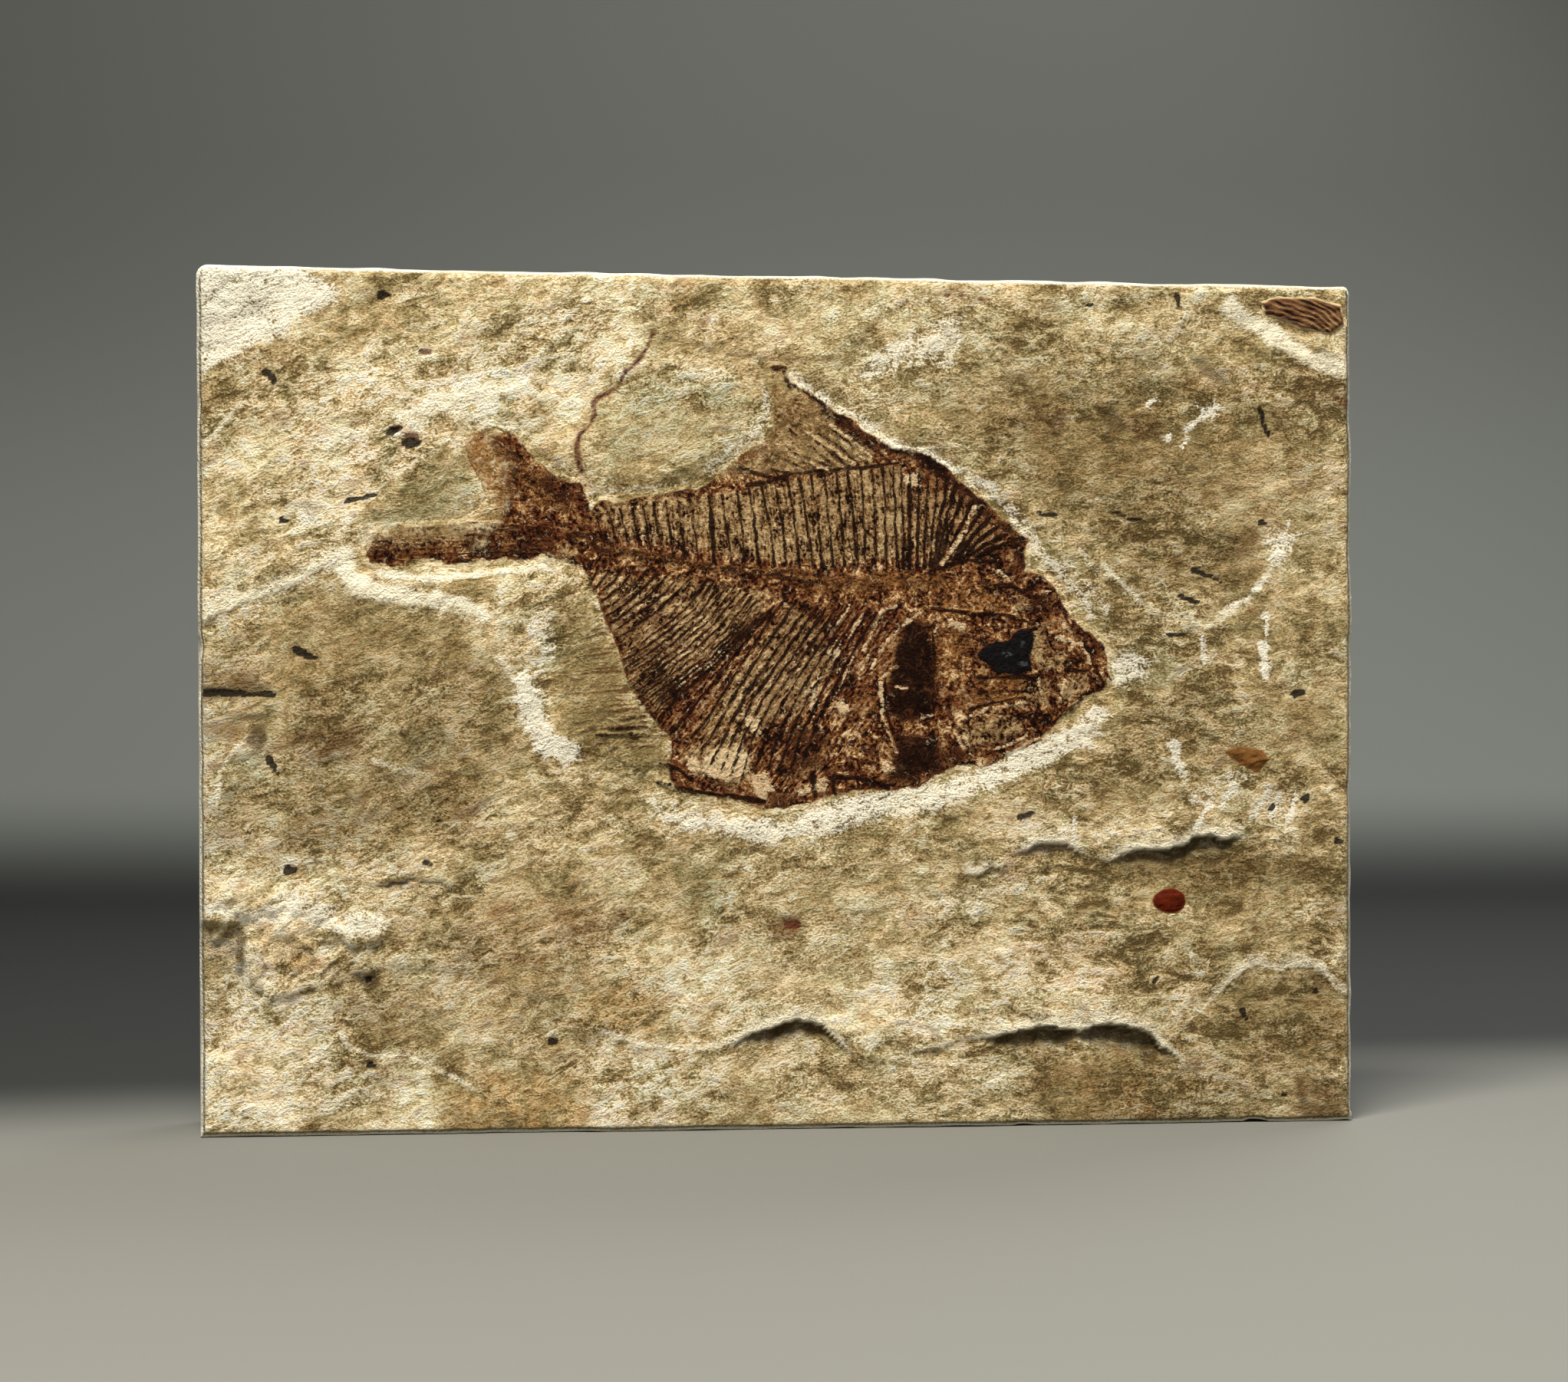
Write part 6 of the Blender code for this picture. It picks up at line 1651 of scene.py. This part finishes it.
class FOSSILSLAB_OT_scales(bpy.types.Operator):
    """Makes the two loose fish scales"""

    bl_idname = "fossil_slab.scales"
    bl_label = "Scales"

    def execute(self, context):
        cell = context.scene.fossil_slab_sizes.inlay_cell / MM
        colours = context.scene.fossil_slab_colours
        red = make_inlay("RedScale", "red_scale", RED_OUTLINE, cell, SCALE_MARGIN, scale_rise)
        red_bone = scale_finish("RedScaleBone", colours.red_dark, colours.red, colours)
        fit(red, "red_scale", red_bone)
        amber = make_inlay("AmberScale", "amber_scale", AMBER_OUTLINE, cell, SCALE_MARGIN, scale_rise)
        amber_bone = scale_finish("AmberScaleBone", colours.amber_dark, colours.amber_light, colours)
        fit(amber, "amber_scale", amber_bone)
        return {"FINISHED"}


# The stage, in metres.
FLOOR_WIDTH, FLOOR_FRONT, WALL_BACK, WALL_HEIGHT, COVE, COVE_STEPS = 3.0, -1.2, 0.75, 1.4, 0.22, 24
# Each light: its place, its width and its tint.
KEY_LIGHT = ((-0.12, -0.32, 0.61), 0.18, (1.0, 0.975, 0.92))
FILL_LIGHT = ((0.7, -0.8, 0.3), 0.9, (0.93, 0.96, 1.0))
BACK_LIGHT = ((0.35, 0.5, 0.55), 0.4, (0.97, 0.98, 1.0))
ROOM_TINT, ROOM_LIGHT = (0.9, 0.95, 1.0), 0.25
# The camera: its place in millimetres, its turn, tilt and roll in degrees, its sensor's width in millimetres
# and the nearest that it sees, in metres.
CAMERA_PLACE = (-52.68, -385.8, 38.98)
CAMERA_TURN, CAMERA_TILT, CAMERA_ROLL = -7.908, -0.914, -0.03
SENSOR_WIDTH, CAMERA_NEAR = 36, 0.01


def add_sweep(stage):
    """The paper: a floor that runs up into a wall in a wide cove."""
    deselect_all()
    bpy.ops.mesh.primitive_plane_add(size=1, location=(0, (FLOOR_FRONT + WALL_BACK) / 2, 0))
    sweep = bpy.context.active_object
    sweep.name = sweep.data.name = "PaperSweep"
    sweep.scale = (FLOOR_WIDTH, WALL_BACK - FLOOR_FRONT, 1)
    bpy.ops.object.transform_apply(location=True, rotation=True, scale=True)
    edit_selected(sweep, "VERT", "vertices", [vertex.co.y > 0 for vertex in sweep.data.vertices])
    bpy.ops.mesh.extrude_edges_move(TRANSFORM_OT_translate={"value": (0, 0, WALL_HEIGHT)})
    bpy.ops.object.mode_set(mode="OBJECT")
    ends = [[sweep.data.vertices[v].co for v in edge.vertices] for edge in sweep.data.edges]
    at_foot = [all(end.y > 0 and end.z < NEAR for end in pair) for pair in ends]
    edit_selected(sweep, "EDGE", "edges", at_foot)
    bpy.ops.mesh.bevel(offset=COVE, segments=COVE_STEPS)
    bpy.ops.object.mode_set(mode="OBJECT")
    bpy.ops.object.shade_smooth()
    sweep.data.materials.append(sweep_finish(stage))


def add_light(name, watts, place, width, tint):
    """A soft square light that looks at the middle of the slab."""
    deselect_all()
    bpy.ops.object.light_add(type="AREA", location=place)
    light = bpy.context.active_object
    light.name = light.data.name = name
    light.data.size = width
    light.data.energy = watts
    light.data.color = tint
    aim = Vector((0, 0, TOP / 2 * MM)) - Vector(place)
    light.rotation_euler = aim.to_track_quat("-Z", "Y").to_euler()


def add_room(scene):
    """The faint light that comes from all round."""
    scene.world = bpy.data.worlds.new("Studio")
    scene.world.use_nodes = True
    background = scene.world.node_tree.nodes["Background"]
    background.inputs["Color"].default_value = (*ROOM_TINT, 1)
    background.inputs["Strength"].default_value = ROOM_LIGHT


def add_camera(scene, lens):
    deselect_all()
    turn, tilt = math.radians(CAMERA_TURN), math.radians(CAMERA_TILT)
    ahead = Vector((-math.sin(turn) * math.cos(tilt), math.cos(turn) * math.cos(tilt), -math.sin(tilt)))
    bpy.ops.object.camera_add(location=[c * MM for c in CAMERA_PLACE])
    camera = bpy.context.active_object
    camera.name = camera.data.name = "FossilCamera"
    camera.rotation_euler = ahead.to_track_quat("-Z", "Y").to_euler()
    camera.rotation_euler.rotate_axis("Z", math.radians(CAMERA_ROLL))
    camera.data.lens = lens
    camera.data.sensor_width = SENSOR_WIDTH
    camera.data.clip_start = CAMERA_NEAR
    scene.camera = camera


class FOSSILSLAB_OT_stage(bpy.types.Operator):
    """Makes the floor, the backdrop, the lights and the camera"""

    bl_idname = "fossil_slab.stage"
    bl_label = "Stage"

    def execute(self, context):
        stage = context.scene.fossil_slab_stage
        add_sweep(stage)
        add_light("KeyLight", stage.key_power, *KEY_LIGHT)
        add_light("FillLight", stage.fill_power, *FILL_LIGHT)
        add_light("BackLight", stage.back_power, *BACK_LIGHT)
        add_room(context.scene)
        add_camera(context.scene, stage.lens)
        context.scene.view_settings.view_transform = "Standard"
        return {"FINISHED"}


class FOSSILSLAB_PT_panel(bpy.types.Panel):
    bl_label = "Fossil Slab"
    bl_idname = "FOSSILSLAB_PT_panel"
    bl_space_type = "VIEW_3D"
    bl_region_type = "UI"
    bl_category = "Fossil Slab"

    def draw(self, context):
        for operator in OPERATORS:
            self.layout.operator(operator.bl_idname)
        for name, group in GROUPS.items():
            box = self.layout.box()
            for setting in group.__annotations__:
                box.prop(getattr(context.scene, name), setting)


OPERATORS = (
    FOSSILSLAB_OT_stone,
    FOSSILSLAB_OT_fish,
    FOSSILSLAB_OT_corner,
    FOSSILSLAB_OT_scales,
    FOSSILSLAB_OT_stage,
)
GROUPS = {
    "fossil_slab_sizes": FossilSlabSizes,
    "fossil_slab_colours": FossilSlabColours,
    "fossil_slab_stage": FossilSlabStage,
}
CLASSES = (*GROUPS.values(), *OPERATORS, FOSSILSLAB_PT_panel)


def register():
    for kind in CLASSES:
        bpy.utils.register_class(kind)
    for name, group in GROUPS.items():
        setattr(bpy.types.Scene, name, PointerProperty(type=group))


def unregister():
    for name in GROUPS:
        delattr(bpy.types.Scene, name)
    for kind in reversed(CLASSES):
        bpy.utils.unregister_class(kind)


def main():
    register()
    bpy.ops.fossil_slab.stone()
    bpy.ops.fossil_slab.fish()
    bpy.ops.fossil_slab.corner()
    bpy.ops.fossil_slab.scales()
    bpy.ops.fossil_slab.stage()


if __name__ == "__main__":
    main()
